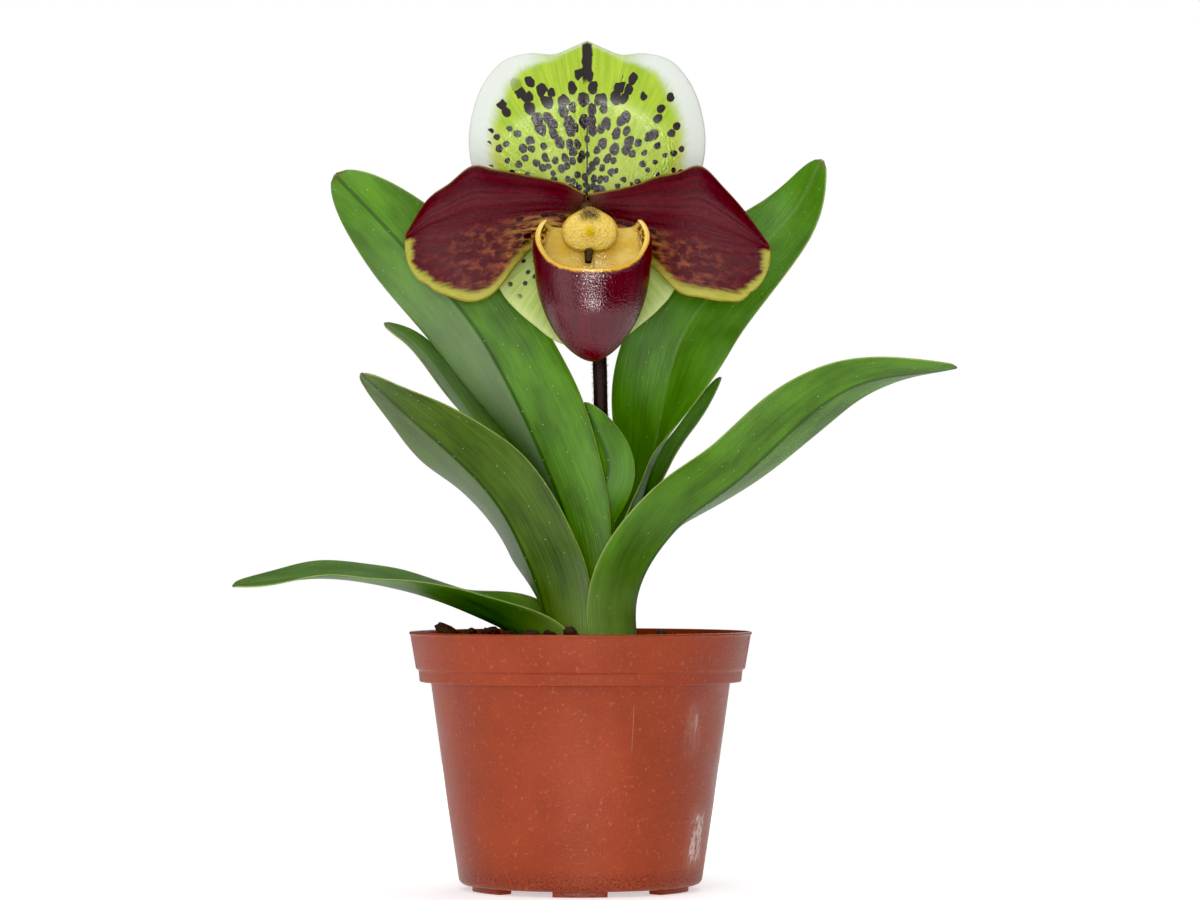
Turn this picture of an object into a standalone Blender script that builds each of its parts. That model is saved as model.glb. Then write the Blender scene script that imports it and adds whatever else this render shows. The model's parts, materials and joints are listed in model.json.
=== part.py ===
"""Slipper orchid (Paphiopedilum) in flower, growing in a plastic nursery pot.

Blender script. Lengths in this file are millimetres and become metres as each mesh is made.
+Z is up, -Y is the side that the flower faces, and the origin is on the ground under the middle
of the pot. The pot rim, 120 mm across, sets the scale of everything else.
"""

import math
import random

import bmesh
import bpy
import numpy as np
from mathutils import Matrix, Vector

MM = 0.001
SEAT_GAP = 0.3  # clearance between two pieces that touch

# Pot, as radius and height
POT_SIDES = 48
RIM_RADIUS = 60.0
POT_HEIGHT = 90.0
COLLAR_FOOT_RADIUS = 56.2
COLLAR_FOOT_Z = 72.5
COLLAR_STEP_Z = 76.6
COLLAR_STEP_RADIUS = 57.1
BODY_TOP_RADIUS = 52.3
BODY_FOOT_RADIUS = 42.6
HEEL_RADIUS = 2.6
WALL = 1.3
FLOOR_THICKNESS = 1.6
FOOT_HEIGHT = 1.9
FOOT_COUNT = 6
FOOT_RING = (33.0, 39.0)
FOOT_ARC = math.radians(28)
MIDDLE_FOOT_RADIUS = 9.0  # flat disc under the middle of the pot
DRAIN_COUNT = 6
DRAIN_RADIUS = 4.0
DRAIN_RING = 26.0

# Potting mix and the crown that stands in it
MIX_LEVEL = 84.5
MIX_RADIUS = 56.7  # at its top edge
MIX_SWELL = 2.0
CHIP_COUNT = 60
CHIP_SIZE = (4.0, 8.0)
CHIP_SEED = 11
CROWN = (5.0, 2.0)  # middle of the leaf fan on plan
HOLE_RADIUS = 23.5
HOLE_FLOOR = 66.0
CROWN_RADIUS = 19.0
CROWN_TOP = 72.0

# Leaves
LEAF_FOOT = CROWN_TOP + SEAT_GAP
LEAF_ROWS = 17
LEAF_HALF = 3  # strips on each side of the keel
KEEL_THICKNESS = 1.3
EDGE_THICKNESS = 0.7
SHEATH_SHARE = 0.35  # share of a leaf's length over which its folded sheath opens
SHEATH_WRAP = 0.88  # share of a half turn that a sheath wraps at its foot
UPRIGHT_SHARE = 0.14  # share of the length over which the sheath leaves the upright

# Each leaf: rank is +1 where the upper face looks to +X, nest is the radius of the folded sheath,
# spine is the keel above the sheath, width is from keel to edge, roll turns the blade about its keel
# at one third, two thirds and the tip, and keel and edge are the fold angles there from the upper face.
LEAVES = {
    "leaf_left_low": dict(
        rank=1, nest=18, width=14.7, tip=3.5, roll=(15, 5, -1),
        keel=(73, 81), edge=(61, 78),
        spine=[(-19, 0, 86), (-39, -7, 97), (-62, -13, 105), (-89, -17, 109), (-120, -20, 106)]),
    "leaf_left_front": dict(
        rank=1, nest=14, width=19.4, tip=4, roll=(46, 56, 37),
        keel=(72, 85), edge=(54, 84),
        spine=[(-10, -2, 89), (-18, -6, 114), (-33, -12, 140), (-64, -28, 169), (-75, -32, 179)]),
    "leaf_left_tall": dict(
        rank=1, nest=6, width=21.3, tip=6, roll=(45, 69, 60),
        keel=(68, 82), edge=(49, 80),
        spine=[(1, 1, 101), (-8, 3, 138), (-34, 8, 192), (-63, 8, 226), (-86, 1, 250)]),
    "leaf_left_back": dict(
        rank=1, nest=10, width=13.5, tip=4, roll=(-33, -32, -35),
        keel=(70, 83), edge=(51, 83),
        spine=[(-7, 7, 103), (-19, 19, 134), (-39, 28, 165), (-57, 28, 189), (-70, 27, 199)]),
    "leaf_centre_young": dict(
        rank=1, nest=4, width=11.4, tip=3.5, roll=(25, 69, 76),
        keel=(73, 86), edge=(20, 84),
        spine=[(3, 1, 99), (1, 2, 127), (10, 1, 147), (1, 6, 170)]),
    "leaf_right_tall": dict(
        rank=-1, nest=8, width=21.4, tip=3, roll=(18, 92, 67),
        keel=(77, 83), edge=(64, 81),
        spine=[(15.2, 4, 113), (26, 20, 151), (38, 26, 198), (74, 32, 236), (86, 25, 257)]),
    "leaf_right_low": dict(
        rank=-1, nest=16, width=17.4, tip=3.5, roll=(-38, -57, -25),
        keel=(69, 81), edge=(55, 78),
        spine=[(19.2, -4.4, 102), (32, -11.5, 125), (55, -4, 143), (92, -7, 174), (131, -8, 182)]),
    "leaf_right_back": dict(
        rank=-1, nest=12, width=9.0, tip=3, roll=(18, 33, 42),
        keel=(71, 83), edge=(62, 81),
        spine=[(16.4, 6.1, 106), (25, 19.3, 137), (39, 32, 163), (50, 37, 180)]),
}

# Flower. The hub is the tip of the ovary, which the sepals, petals and lip stand round.
HUB = (2.3, 236.6)
HUB_RADIUS = 3.0
HUB_FRONT, HUB_BACK = -10.0, 2.0
SEPAL_THICKNESS = 1.0
PETAL_THICKNESS = 1.1
DORSAL_OUTLINE = (  # degrees from straight up, and how far the sepal reaches there
    (0, 57.7), (5, 55.8), (12, 54.3), (20, 57.0), (28, 58.7), (38, 57.0),
    (50, 52.8), (62, 46.8), (75, 39.5), (90, 29.0))
VENTRAL_OUTLINE = (  # degrees from straight down
    (0, 48.0), (14, 46.5), (24, 44.0), (36, 42.3), (45, 41.3), (52, 40.0), (62, 36.5), (76, 28.0))
PETAL_LEFT = dict(
    spine=[(-1.2, -4.5, 236.4), (-14, -7.5, 236.2), (-38, -11, 232.6), (-52, -12, 229.4), (-61, -11, 226.6)],
    above=(6.5, 10, 12, 14.5, 17, 19.5, 15, 11, 0.8), below=(3.5, 7, 10, 17, 26, 28, 24.5, 18, 0.8))
PETAL_RIGHT = dict(
    spine=[(5.8, -4.5, 236.4), (22, -8, 231.8), (36, -11, 229.2), (49, -12, 226.6), (66, -11, 223)],
    above=(6.5, 9.5, 13, 17.5, 20.5, 24, 18, 10.5, 0.8), below=(3.5, 7, 10, 15, 21.5, 22, 21.5, 18, 0.8))
LIP_X = 4.2
LIP_TOE_Z = 185.0
LIP_MOUTH_Z = 216.0
LIP_HALF_WIDTH = 20.0
LIP_HALF_DEPTH = 15.0
LIP_WALL = 1.2
LIP_RIM = (  # degrees round from the front, and the height of the rim there
    (0, 214.5), (25, 215.3), (48, 218.6), (70, 226.0), (88, 232.0),
    (104, 231.0), (128, 226.5), (156, 226.5), (180, 233.2))
SHIELD = (3.3, -17.5, 228.6)
STEM_LINE = [
    (6.2, 2.4, 72.6), (7.2, 3.4, 95), (7.4, 6.8, 135), (7.0, 12.0, 170), (6.4, 17.0, 192), (5.6, 20.5, 205)]
STEM_RADIUS = 2.6
OVARY_LINE = [(5.5, 20.8, 205.5), (5.0, 23.0, 214), (4.0, 18.5, 226), (2.9, 9.5, 234.6), (2.3, 2.9, 236.5)]
OVARY_RADII = (2.5, 3.4, 3.6, 3.1, 2.7)
BRACT_LINE = [(6.0, 21.5, 196), (5.6, 25.0, 206), (5.2, 28.3, 215), (5.0, 29.4, 227)]
BRACT_WIDTH = 7.4  # from its midrib to its edge


def clear_scene():
    for thing in list(bpy.data.objects):
        bpy.data.objects.remove(thing)


def material(name, colour, roughness):
    made = bpy.data.materials.new(name)
    made.use_nodes = True
    shader = made.node_tree.nodes["Principled BSDF"]
    shader.inputs["Base Color"].default_value = (*colour, 1.0)
    shader.inputs["Roughness"].default_value = roughness
    shader.inputs["Metallic"].default_value = 0.0
    made.diffuse_color = (*colour, 1.0)
    return made


def finish_object(name, mesh_data, finish, sharp_degrees=35):
    """Turns the faces outwards, and adds the mesh to the scene as one named object."""
    bmesh.ops.recalc_face_normals(mesh_data, faces=mesh_data.faces[:])
    mesh = bpy.data.meshes.new(name)
    mesh_data.to_mesh(mesh)
    mesh_data.free()
    mesh.transform(Matrix.Scale(MM, 4))
    mesh.materials.append(finish)
    mesh.shade_smooth()
    mesh.set_sharp_from_angle(angle=math.radians(sharp_degrees))
    made = bpy.data.objects.new(name, mesh)
    bpy.context.scene.collection.objects.link(made)
    return made


def ease(x):
    x = np.clip(x, 0, 1)
    return x * x * (3 - 2 * x)


def between(t, knots, values):
    """A value that eases from each knot to the next."""
    found = np.full(np.shape(t), float(values[0]))
    for low, high, first, last in zip(knots, knots[1:], values, values[1:]):
        found = found + (last - first) * ease((t - low) / (high - low))
    return found


def smooth_line(points, count):
    """Evenly spaced points along a smooth curve through the given ones."""
    through = np.asarray(points, float)
    through = np.vstack([2 * through[0] - through[1], through, 2 * through[-1] - through[-2]])
    found = []
    for i in range(1, len(through) - 2):
        a, b, c, d = through[i - 1:i + 3]
        for t in np.linspace(0, 1, 24, endpoint=False):
            bend = (2 * a - 5 * b + 4 * c - d) * t ** 2 + (3 * b - a - 3 * c + d) * t ** 3
            found.append(0.5 * (2 * b + (c - a) * t + bend))
    found = np.array(found + [through[-2]])
    along = np.r_[0, np.cumsum(np.linalg.norm(np.diff(found, axis=0), axis=1))]
    at = np.linspace(0, along[-1], count)
    return np.stack([np.interp(at, along, found[:, k]) for k in range(3)], 1)


def smooth_value(at, pairs):
    """A smooth value through (place, value) pairs, at each of the places given."""
    places, values = np.array(pairs, float).T
    slopes = np.gradient(values, places)
    at = np.clip(at, places[0], places[-1])
    i = np.clip(np.searchsorted(places, at) - 1, 0, len(places) - 2)
    width = places[i + 1] - places[i]
    t = (at - places[i]) / width
    return (values[i] * (1 + 2 * t) * (1 - t) ** 2 + slopes[i] * width * t * (1 - t) ** 2
            + values[i + 1] * t ** 2 * (3 - 2 * t) - slopes[i + 1] * width * t ** 2 * (1 - t))


def normals_of(grid):
    across = np.cross(np.gradient(grid, axis=0), np.gradient(grid, axis=1))
    return across / np.maximum(np.linalg.norm(across, axis=2, keepdims=True), 1e-9)


def thick_sheet(name, grid, thickness, finish, foot=None):
    """A closed blade: the grid's middle surface, made as thick as asked, with both faces split alike.

    A foot is the height at which the first row is cut off level.
    """
    offset = normals_of(grid) * (thickness / 2)[..., None]
    rows, columns = grid.shape[:2]
    faces = [grid + offset, grid - offset]
    if foot is not None:
        for face in faces:
            face[0, :, 2] = foot
    mesh = bmesh.new()
    sides = [[[mesh.verts.new(p) for p in row] for row in face] for face in faces]
    for corners in sides:
        for i in range(rows - 1):
            for j in range(columns - 1):
                a, b = corners[i][j], corners[i][j + 1]
                c, d = corners[i + 1][j + 1], corners[i + 1][j]
                mesh.faces.new((a, b, c))
                mesh.faces.new((a, c, d))
    edge = [(0, j) for j in range(columns)] + [(i, columns - 1) for i in range(1, rows)]
    edge += [(rows - 1, j) for j in range(columns - 2, -1, -1)] + [(i, 0) for i in range(rows - 2, 0, -1)]
    for (i, j), (k, m) in zip(edge, edge[1:] + edge[:1]):
        mesh.faces.new((sides[0][i][j], sides[0][k][m], sides[1][k][m], sides[1][i][j]))
    return finish_object(name, mesh, finish, sharp_degrees=60)


def leaf_grid(leaf, rows, half):
    """Middle surface of one leaf: a folded sheath that opens into a keeled blade."""
    middle_x, middle_y = CROWN
    foot = (middle_x - leaf["rank"] * leaf["nest"], middle_y, LEAF_FOOT)
    line = smooth_line([foot] + leaf["spine"], rows)
    tangent = np.gradient(line, axis=0)
    tangent /= np.linalg.norm(tangent, axis=1)[:, None]
    t = np.linspace(0, 1, rows)
    leaning = ease(t / UPRIGHT_SHARE)[:, None]
    tangent = tangent * leaning + np.array([0.0, 0.0, 1.0]) * (1 - leaning)
    tangent /= np.linalg.norm(tangent, axis=1)[:, None]
    roll = np.radians(between(t, (0, 1 / 3, 2 / 3, 1), (0, *leaf["roll"])))
    keel = np.radians(between(t, (0, SHEATH_SHARE, 1), (90, *leaf["keel"])))
    edge = np.radians(between(t, (0, SHEATH_SHARE, 1), (0, *leaf["edge"])))
    sheath_width = SHEATH_WRAP * math.pi / 2 * leaf["nest"]
    width = sheath_width + (leaf["width"] - sheath_width) * ease(t / 0.5)
    width = width * np.maximum(1 - t ** leaf["tip"], 0) ** 0.55 + 0.4
    grid = np.zeros((rows, 2 * half + 1, 3))
    facing = np.array([leaf["rank"], 0.0, 0.0])
    for i in range(rows):
        facing = facing - tangent[i] * (facing @ tangent[i])
        facing /= np.linalg.norm(facing)
        aside = np.cross(tangent[i], facing)
        upper = facing * math.cos(roll[i]) + aside * math.sin(roll[i])
        right = aside * math.cos(roll[i]) - facing * math.sin(roll[i])
        angle = np.linspace(keel[i], edge[i], half + 1)
        angle = (angle[1:] + angle[:-1]) / 2
        out = np.r_[0, np.cumsum(np.sin(angle))] * width[i] / half
        rise = np.r_[0, np.cumsum(np.cos(angle))] * width[i] / half
        for j in range(half + 1):
            grid[i, half + j] = line[i] + right * out[j] + upper * rise[j]
            grid[i, half - j] = line[i] - right * out[j] + upper * rise[j]
    return grid


def build_leaf(name, leaf, finish):
    grid = leaf_grid(leaf, LEAF_ROWS, LEAF_HALF)
    across = np.abs(np.linspace(-1, 1, 2 * LEAF_HALF + 1))
    along = np.linspace(0, 1, LEAF_ROWS)[:, None]
    thickness = (KEEL_THICKNESS + (EDGE_THICKNESS - KEEL_THICKNESS) * across) * (1 - 0.3 * along ** 2)
    return thick_sheet(name, grid, np.maximum(thickness, 0.6), finish, foot=LEAF_FOOT)


def join_rings(mesh, rings, sides):
    """Faces between each ring and the next, where a ring of one point is an end on the axis."""
    for low, high in zip(rings, rings[1:]):
        for k in range(sides):
            m = k + 1
            corners = [low[k % len(low)], low[m % len(low)], high[m % len(high)], high[k % len(high)]]
            mesh.faces.new(list(dict.fromkeys(corners)))


def turned_solid(profile, sides):
    """A closed mesh turned round +Z from (radius, height) points that start and end on the axis."""
    mesh = bmesh.new()
    rings = []
    for radius, height in profile:
        if radius < 1e-6:
            rings.append([mesh.verts.new((0, 0, height))])
            continue
        turns = [2 * math.pi * (k + 0.5) / sides for k in range(sides)]
        rings.append([mesh.verts.new((radius * math.cos(a), radius * math.sin(a), height)) for a in turns])
    join_rings(mesh, rings, sides)
    return mesh


def body_radius(height, inset=0.0):
    share = (height - FOOT_HEIGHT) / (COLLAR_FOOT_Z - FOOT_HEIGHT)
    return BODY_FOOT_RADIUS + (BODY_TOP_RADIUS - BODY_FOOT_RADIUS) * share - inset


def pot_profile():
    """Outer wall from the base up, over the rim, and down the inner wall."""
    heel_radius = body_radius(FOOT_HEIGHT) - HEEL_RADIUS
    heel = [(heel_radius + HEEL_RADIUS * math.sin(a), FOOT_HEIGHT + HEEL_RADIUS * (1 - math.cos(a)))
            for a in (0, math.pi / 4, math.pi / 2)]
    outer = [(0, FOOT_HEIGHT), *heel, (BODY_TOP_RADIUS, COLLAR_FOOT_Z), (COLLAR_FOOT_RADIUS, COLLAR_FOOT_Z),
             (COLLAR_FOOT_RADIUS + 0.4, COLLAR_STEP_Z), (COLLAR_STEP_RADIUS + 0.4, COLLAR_STEP_Z + 0.4),
             (RIM_RADIUS - 0.5, POT_HEIGHT - 1.2), (RIM_RADIUS, POT_HEIGHT - 0.6)]
    inner = [(RIM_RADIUS - 0.4, POT_HEIGHT), (RIM_RADIUS - WALL, POT_HEIGHT), *cavity_profile(0.0)]
    return outer + inner


def cavity_profile(gap):
    """The inner wall from the collar down to the middle of the floor."""
    step = COLLAR_FOOT_Z + WALL
    floor = FOOT_HEIGHT + FLOOR_THICKNESS
    return [(COLLAR_FOOT_RADIUS + 0.4 - WALL - gap, step + gap),
            (body_radius(step, WALL) - gap, step + gap - 0.6),
            (body_radius(floor + 2, WALL) - gap, floor + 2),
            (body_radius(floor, WALL) - 2 - gap, floor + gap),
            (0, floor + gap)]


def sector_block(mesh, radii, start, arc, heights, steps=4):
    """An arc-shaped block, as a foot under the pot."""
    rings = []
    (inner, outer), (low, high) = radii, heights
    for k in range(steps + 1):
        a = start + arc * k / steps
        corners = ((inner, low), (outer, low), (outer, high), (inner, high))
        rings.append([mesh.verts.new((r * math.cos(a), r * math.sin(a), z)) for r, z in corners])
    for near, far in zip(rings, rings[1:]):
        for k in range(4):
            mesh.faces.new((near[k], near[(k + 1) % 4], far[(k + 1) % 4], far[k]))
    mesh.faces.new(rings[0])
    mesh.faces.new(rings[-1])


def add_cylinder(mesh, radius, place, low, high, sides):
    middle = Matrix.Translation((*place, (low + high) / 2))
    bmesh.ops.create_cone(mesh, cap_ends=True, segments=sides, radius1=radius, radius2=radius,
                          depth=high - low, matrix=middle)


def cutter_from(name, mesh):
    bmesh.ops.recalc_face_normals(mesh, faces=mesh.faces[:])
    data = bpy.data.meshes.new(name)
    mesh.to_mesh(data)
    mesh.free()
    data.transform(Matrix.Scale(MM, 4))
    return bpy.data.objects.new(name, data)


def apply_boolean(target, helpers, operation, solver="EXACT"):
    """Joins or cuts the target with every helper at once, then removes the helpers."""
    group = bpy.data.collections.new("helpers")
    bpy.context.scene.collection.children.link(group)
    for helper in helpers:
        group.objects.link(helper)
    modifier = target.modifiers.new(operation.lower(), "BOOLEAN")
    modifier.operation = operation
    modifier.solver = solver
    modifier.operand_type = "COLLECTION"
    modifier.collection = group
    bpy.context.view_layer.update()
    evaluated = target.evaluated_get(bpy.context.evaluated_depsgraph_get())
    result = bpy.data.meshes.new_from_object(evaluated)
    target.modifiers.clear()
    target.data = result
    for helper in helpers:
        bpy.data.objects.remove(helper)
    bpy.data.collections.remove(group)


def build_pot(finish):
    pot = finish_object("pot", turned_solid(pot_profile(), POT_SIDES), finish)
    feet = []
    for k in range(FOOT_COUNT):
        mesh = bmesh.new()
        middle = math.radians(-90) + 2 * math.pi * k / FOOT_COUNT
        sector_block(mesh, FOOT_RING, middle - FOOT_ARC / 2, FOOT_ARC, (0.0, FOOT_HEIGHT + 0.8))
        feet.append(cutter_from(f"foot_{k}", mesh))
    mesh = bmesh.new()
    add_cylinder(mesh, MIDDLE_FOOT_RADIUS, (0, 0), 0.0, FOOT_HEIGHT + 0.8, 24)
    feet.append(cutter_from("middle_foot", mesh))
    apply_boolean(pot, feet, "UNION")
    drains = []
    for k in range(DRAIN_COUNT):
        mesh = bmesh.new()
        turn = math.radians(-60) + 2 * math.pi * k / DRAIN_COUNT
        place = (DRAIN_RING * math.cos(turn), DRAIN_RING * math.sin(turn))
        add_cylinder(mesh, DRAIN_RADIUS, place, FOOT_HEIGHT - 2, FOOT_HEIGHT + FLOOR_THICKNESS + 2, 12)
        drains.append(cutter_from(f"drain_{k}", mesh))
    apply_boolean(pot, drains, "DIFFERENCE")
    return pot


def mix_height(radius, turn):
    """Uneven top of the mix, from a few waves."""
    wave = math.sin(2 * turn + 0.6) + 0.7 * math.sin(5 * turn + radius / 6) + 0.8 * math.cos(radius / 5.5)
    dip = 3.0 * math.exp(-((radius - HOLE_RADIUS) / 7) ** 2)
    return MIX_LEVEL + MIX_SWELL / 2.5 * wave - dip


def build_mix(finish):
    """One body of mix with a plain hole for the crown, and bark chips standing out of its top."""
    outline = cavity_profile(SEAT_GAP)
    mesh = bmesh.new()
    hole_rings = [(HOLE_RADIUS, HOLE_FLOOR), (HOLE_RADIUS, None)]
    top_radii = [HOLE_RADIUS + 6, HOLE_RADIUS + 13, HOLE_RADIUS + 20, HOLE_RADIUS + 26, MIX_RADIUS]
    profile = [(0.0, HOLE_FLOOR), *hole_rings] + [(r, None) for r in top_radii] + outline
    rings = []
    for number, (radius, height) in enumerate(profile):
        if radius < 1e-6:
            rings.append([mesh.verts.new((0, 0, height))])
            continue
        inside = number < len(profile) - len(outline)
        # The hole is round the leaf fan, which isn't quite at the pot's middle.
        shift = max(0.0, 1 - max(radius - HOLE_RADIUS, 0) / 20) if inside else 0.0
        ring = []
        for k in range(POT_SIDES):
            a = 2 * math.pi * (k + 0.5) / POT_SIDES
            z = mix_height(radius, a) if height is None else height
            x = radius * math.cos(a) + CROWN[0] * shift
            y = radius * math.sin(a) + CROWN[1] * shift
            ring.append(mesh.verts.new((x, y, z)))
        rings.append(ring)
    rings[0][0].co.x, rings[0][0].co.y = CROWN
    join_rings(mesh, rings, POT_SIDES)
    mix = finish_object("potting_mix", mesh, finish)
    apply_boolean(mix, [bark_chip(*chip) for chip in chip_places()], "UNION", "MANIFOLD")
    return mix


def chip_places():
    """Where each bark chip stands: seeded, clear of the pot wall, the hole and the low leaf's path."""
    draw = random.Random(CHIP_SEED)
    places = []
    golden = math.radians(137.5)
    for k in range(CHIP_COUNT):
        size = draw.uniform(*CHIP_SIZE)
        nearest, furthest = HOLE_RADIUS + 2.0 + size, MIX_RADIUS - size * 0.8 - 3.4
        radius = math.sqrt(nearest ** 2 + (furthest ** 2 - nearest ** 2) * (k + 0.5) / CHIP_COUNT)
        turn = golden * k + draw.uniform(-0.2, 0.2)
        x, y = radius * math.cos(turn) + 1.0, radius * math.sin(turn)
        under_leaf = x < -14 and abs(y + 4 + 0.22 * (-x - 14)) < 15
        lift = (-0.6 if under_leaf else draw.uniform(-0.25, 0.1)) * size
        places.append((k, size, Vector((x, y, mix_height(radius, turn) + lift)), draw.uniform(0, math.pi)))
    return places


def bark_chip(number, size, middle, turn):
    """An angular chip: the hull of a few points on a squashed ball."""
    draw = random.Random(CHIP_SEED * 100 + number)
    mesh = bmesh.new()
    for k in range(9):
        rise = 1 - 2 * (k + 0.5) / 9
        around = k * math.radians(137.5) + draw.uniform(-0.35, 0.35)
        ring = math.sqrt(1 - rise * rise)
        reach = size * draw.uniform(0.78, 1.0)
        point = Vector((ring * math.cos(around), 0.7 * ring * math.sin(around), 0.62 * rise))
        mesh.verts.new(point * reach)
    bmesh.ops.convex_hull(mesh, input=mesh.verts[:])
    loose = [v for v in mesh.verts if not v.link_faces]
    bmesh.ops.delete(mesh, geom=loose, context="VERTS")
    tilt = Matrix.Rotation(draw.uniform(-0.5, 0.5), 4, "X") @ Matrix.Rotation(draw.uniform(-0.5, 0.5), 4, "Y")
    place = Matrix.Translation(middle) @ Matrix.Rotation(turn, 4, "Z") @ tilt
    bmesh.ops.transform(mesh, verts=mesh.verts, matrix=place)
    bmesh.ops.triangulate(mesh, faces=mesh.faces[:])
    return cutter_from(f"chip_{number}", mesh)


def build_crown(finish):
    """Short woody stem at the bottom of the hole, which the leaves and the flower stem rise from."""
    low = HOLE_FLOOR + SEAT_GAP
    profile = [(0, low), (CROWN_RADIUS - 3, low), (CROWN_RADIUS, low + 2), (CROWN_RADIUS, CROWN_TOP - 0.8),
               (CROWN_RADIUS - 0.8, CROWN_TOP), (0, CROWN_TOP)]
    mesh = turned_solid(profile, 24)
    bmesh.ops.translate(mesh, verts=mesh.verts, vec=(*CROWN, 0))
    return finish_object("crown", mesh, finish)


def tube(points, radii, sides, lobes=0, lobe_depth=0.0):
    """A closed tube along a line, with a radius at each point and, if asked, ribs along it."""
    line = np.asarray(points, float)
    tangent = np.gradient(line, axis=0)
    tangent /= np.linalg.norm(tangent, axis=1)[:, None]
    side = np.array([1.0, 0.0, 0.0])
    mesh = bmesh.new()
    rings = []
    for middle, ahead, radius in zip(line, tangent, radii):
        side = side - ahead * (side @ ahead)
        side /= np.linalg.norm(side)
        other = np.cross(ahead, side)
        ring = []
        for k in range(sides):
            a = 2 * math.pi * k / sides
            reach = radius * (1 + lobe_depth * math.cos(lobes * a))
            ring.append(mesh.verts.new(middle + reach * (side * math.cos(a) + other * math.sin(a))))
        rings.append(ring)
    for low, high in zip(rings, rings[1:]):
        for k in range(sides):
            mesh.faces.new((low[k], low[(k + 1) % sides], high[(k + 1) % sides], high[k]))
    mesh.faces.new(rings[0])
    mesh.faces.new(rings[-1])
    return mesh


def build_stem(finish):
    line = smooth_line(STEM_LINE, 22)
    radii = np.linspace(STEM_RADIUS + 0.2, STEM_RADIUS - 0.2, len(line))
    return finish_object("flower_stem", tube(line, radii, 10), finish)


def build_ovary(finish):
    line = smooth_line(OVARY_LINE, 12)
    radii = smooth_value(np.linspace(0, 1, 12), list(zip(np.linspace(0, 1, len(OVARY_RADII)), OVARY_RADII)))
    return finish_object("ovary", tube(line, radii, 12, lobes=3, lobe_depth=0.06), finish)


def build_bract(finish):
    """The green bract that sheathes the foot of the ovary from behind."""
    rows, half = 10, 3
    line = smooth_line(BRACT_LINE, rows)
    grid = np.zeros((rows, 2 * half + 1, 3))
    for i, point in enumerate(line):
        t = i / (rows - 1)
        reach = BRACT_WIDTH * (1 - t ** 2.2) ** 0.6 + 0.5
        for j in range(-half, half + 1):
            bend = math.radians(30) * j / half * (1 - 0.3 * t)
            out = reach * abs(j) / half
            forward = 1.6 * out * abs(math.sin(bend))
            grid[i, j + half] = point + (math.copysign(out * math.cos(bend), j), -forward, 0)
    return thick_sheet("bract", grid, np.full(grid.shape[:2], 0.8), finish)


def fan_grid(outline, down, rows, columns, depth):
    """Middle surface of a sepal: rays from the hub, cut to an outline, with a depth for each point."""
    widest = outline[-1][0]
    angles = np.linspace(-widest, widest, columns)
    start = HUB_RADIUS + SEAT_GAP + 0.3
    grid = np.zeros((rows, columns, 3))
    for j, angle in enumerate(angles):
        reach = float(smooth_value(np.array([abs(angle)]), outline)[0])
        for i in range(rows):
            s = i / (rows - 1)
            r = start + (reach - start) * s
            a = math.radians(angle)
            x, z = r * math.sin(a), r * math.cos(a)
            grid[i, j] = (HUB[0] + x, depth(x, z, r / reach, a), HUB[1] + (-z if down else z))
    return grid


def dorsal_depth(x, z, share, angle):
    """The upper sepal leans forward at its tip, its sides roll back, and its midrib is a shallow groove."""
    lean = -5.0 * share ** 2 * max(math.cos(angle), 0) ** 2
    rolled = 5.5 * share ** 3 * math.sin(angle) ** 2
    groove = 1.2 * math.exp(-(x / 2.5) ** 2) * min(1, share * 3) * (1 - share)
    cup = -2.0 * math.sin(math.pi * share) * abs(math.sin(2 * angle))
    return 0.4 + lean + rolled + groove + cup * 0.5


def ventral_depth(x, z, share, angle):
    """The fused lower sepals stand behind the lip and curve a little forward at the tip."""
    return 0.6 - 4.0 * share ** 2 * max(math.cos(angle), 0) + 1.5 * share * math.sin(angle) ** 2


def build_sepals(upper_finish, lower_finish):
    dorsal = fan_grid(DORSAL_OUTLINE, False, 9, 31, dorsal_depth)
    thick_sheet("dorsal_sepal", dorsal, np.full(dorsal.shape[:2], SEPAL_THICKNESS), upper_finish)
    ventral = fan_grid(VENTRAL_OUTLINE, True, 7, 17, ventral_depth)
    thick_sheet("ventral_sepal", ventral, np.full(ventral.shape[:2], SEPAL_THICKNESS), lower_finish)


def petal_grid(petal, rows, half):
    """Middle surface of a petal: a grooved midrib with a rolled upper half and a waved lower half."""
    line = smooth_line(petal["spine"], rows)
    places = np.linspace(0, 1, len(petal["above"]))
    t = np.linspace(0, 1, rows)
    above = smooth_value(t, list(zip(places, petal["above"])))
    below = smooth_value(t, list(zip(places, petal["below"])))
    grid = np.zeros((rows, 2 * half + 1, 3))
    for i in range(rows):
        for j in range(-half, half + 1):
            v = abs(j) / half
            grow = ease(t[i] / 0.25)
            if j >= 0:
                out = above[i] * v
                depth = grow * (-2.2 * math.sin(math.pi * 0.62 * v) + 4.5 * v ** 3)
            else:
                out = -below[i] * v
                wave = 1.1 * math.sin(9.0 * t[i]) * v ** 2
                depth = grow * (-2.4 * v + 2.6 * v ** 2 + wave)
            grid[i, j + half] = line[i] + (0, depth, out)
    return grid


def build_petals(finish):
    for name, petal in (("petal_left", PETAL_LEFT), ("petal_right", PETAL_RIGHT)):
        grid = petal_grid(petal, 15, 4)
        thick_sheet(name, grid, np.full(grid.shape[:2], PETAL_THICKNESS), finish)


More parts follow.
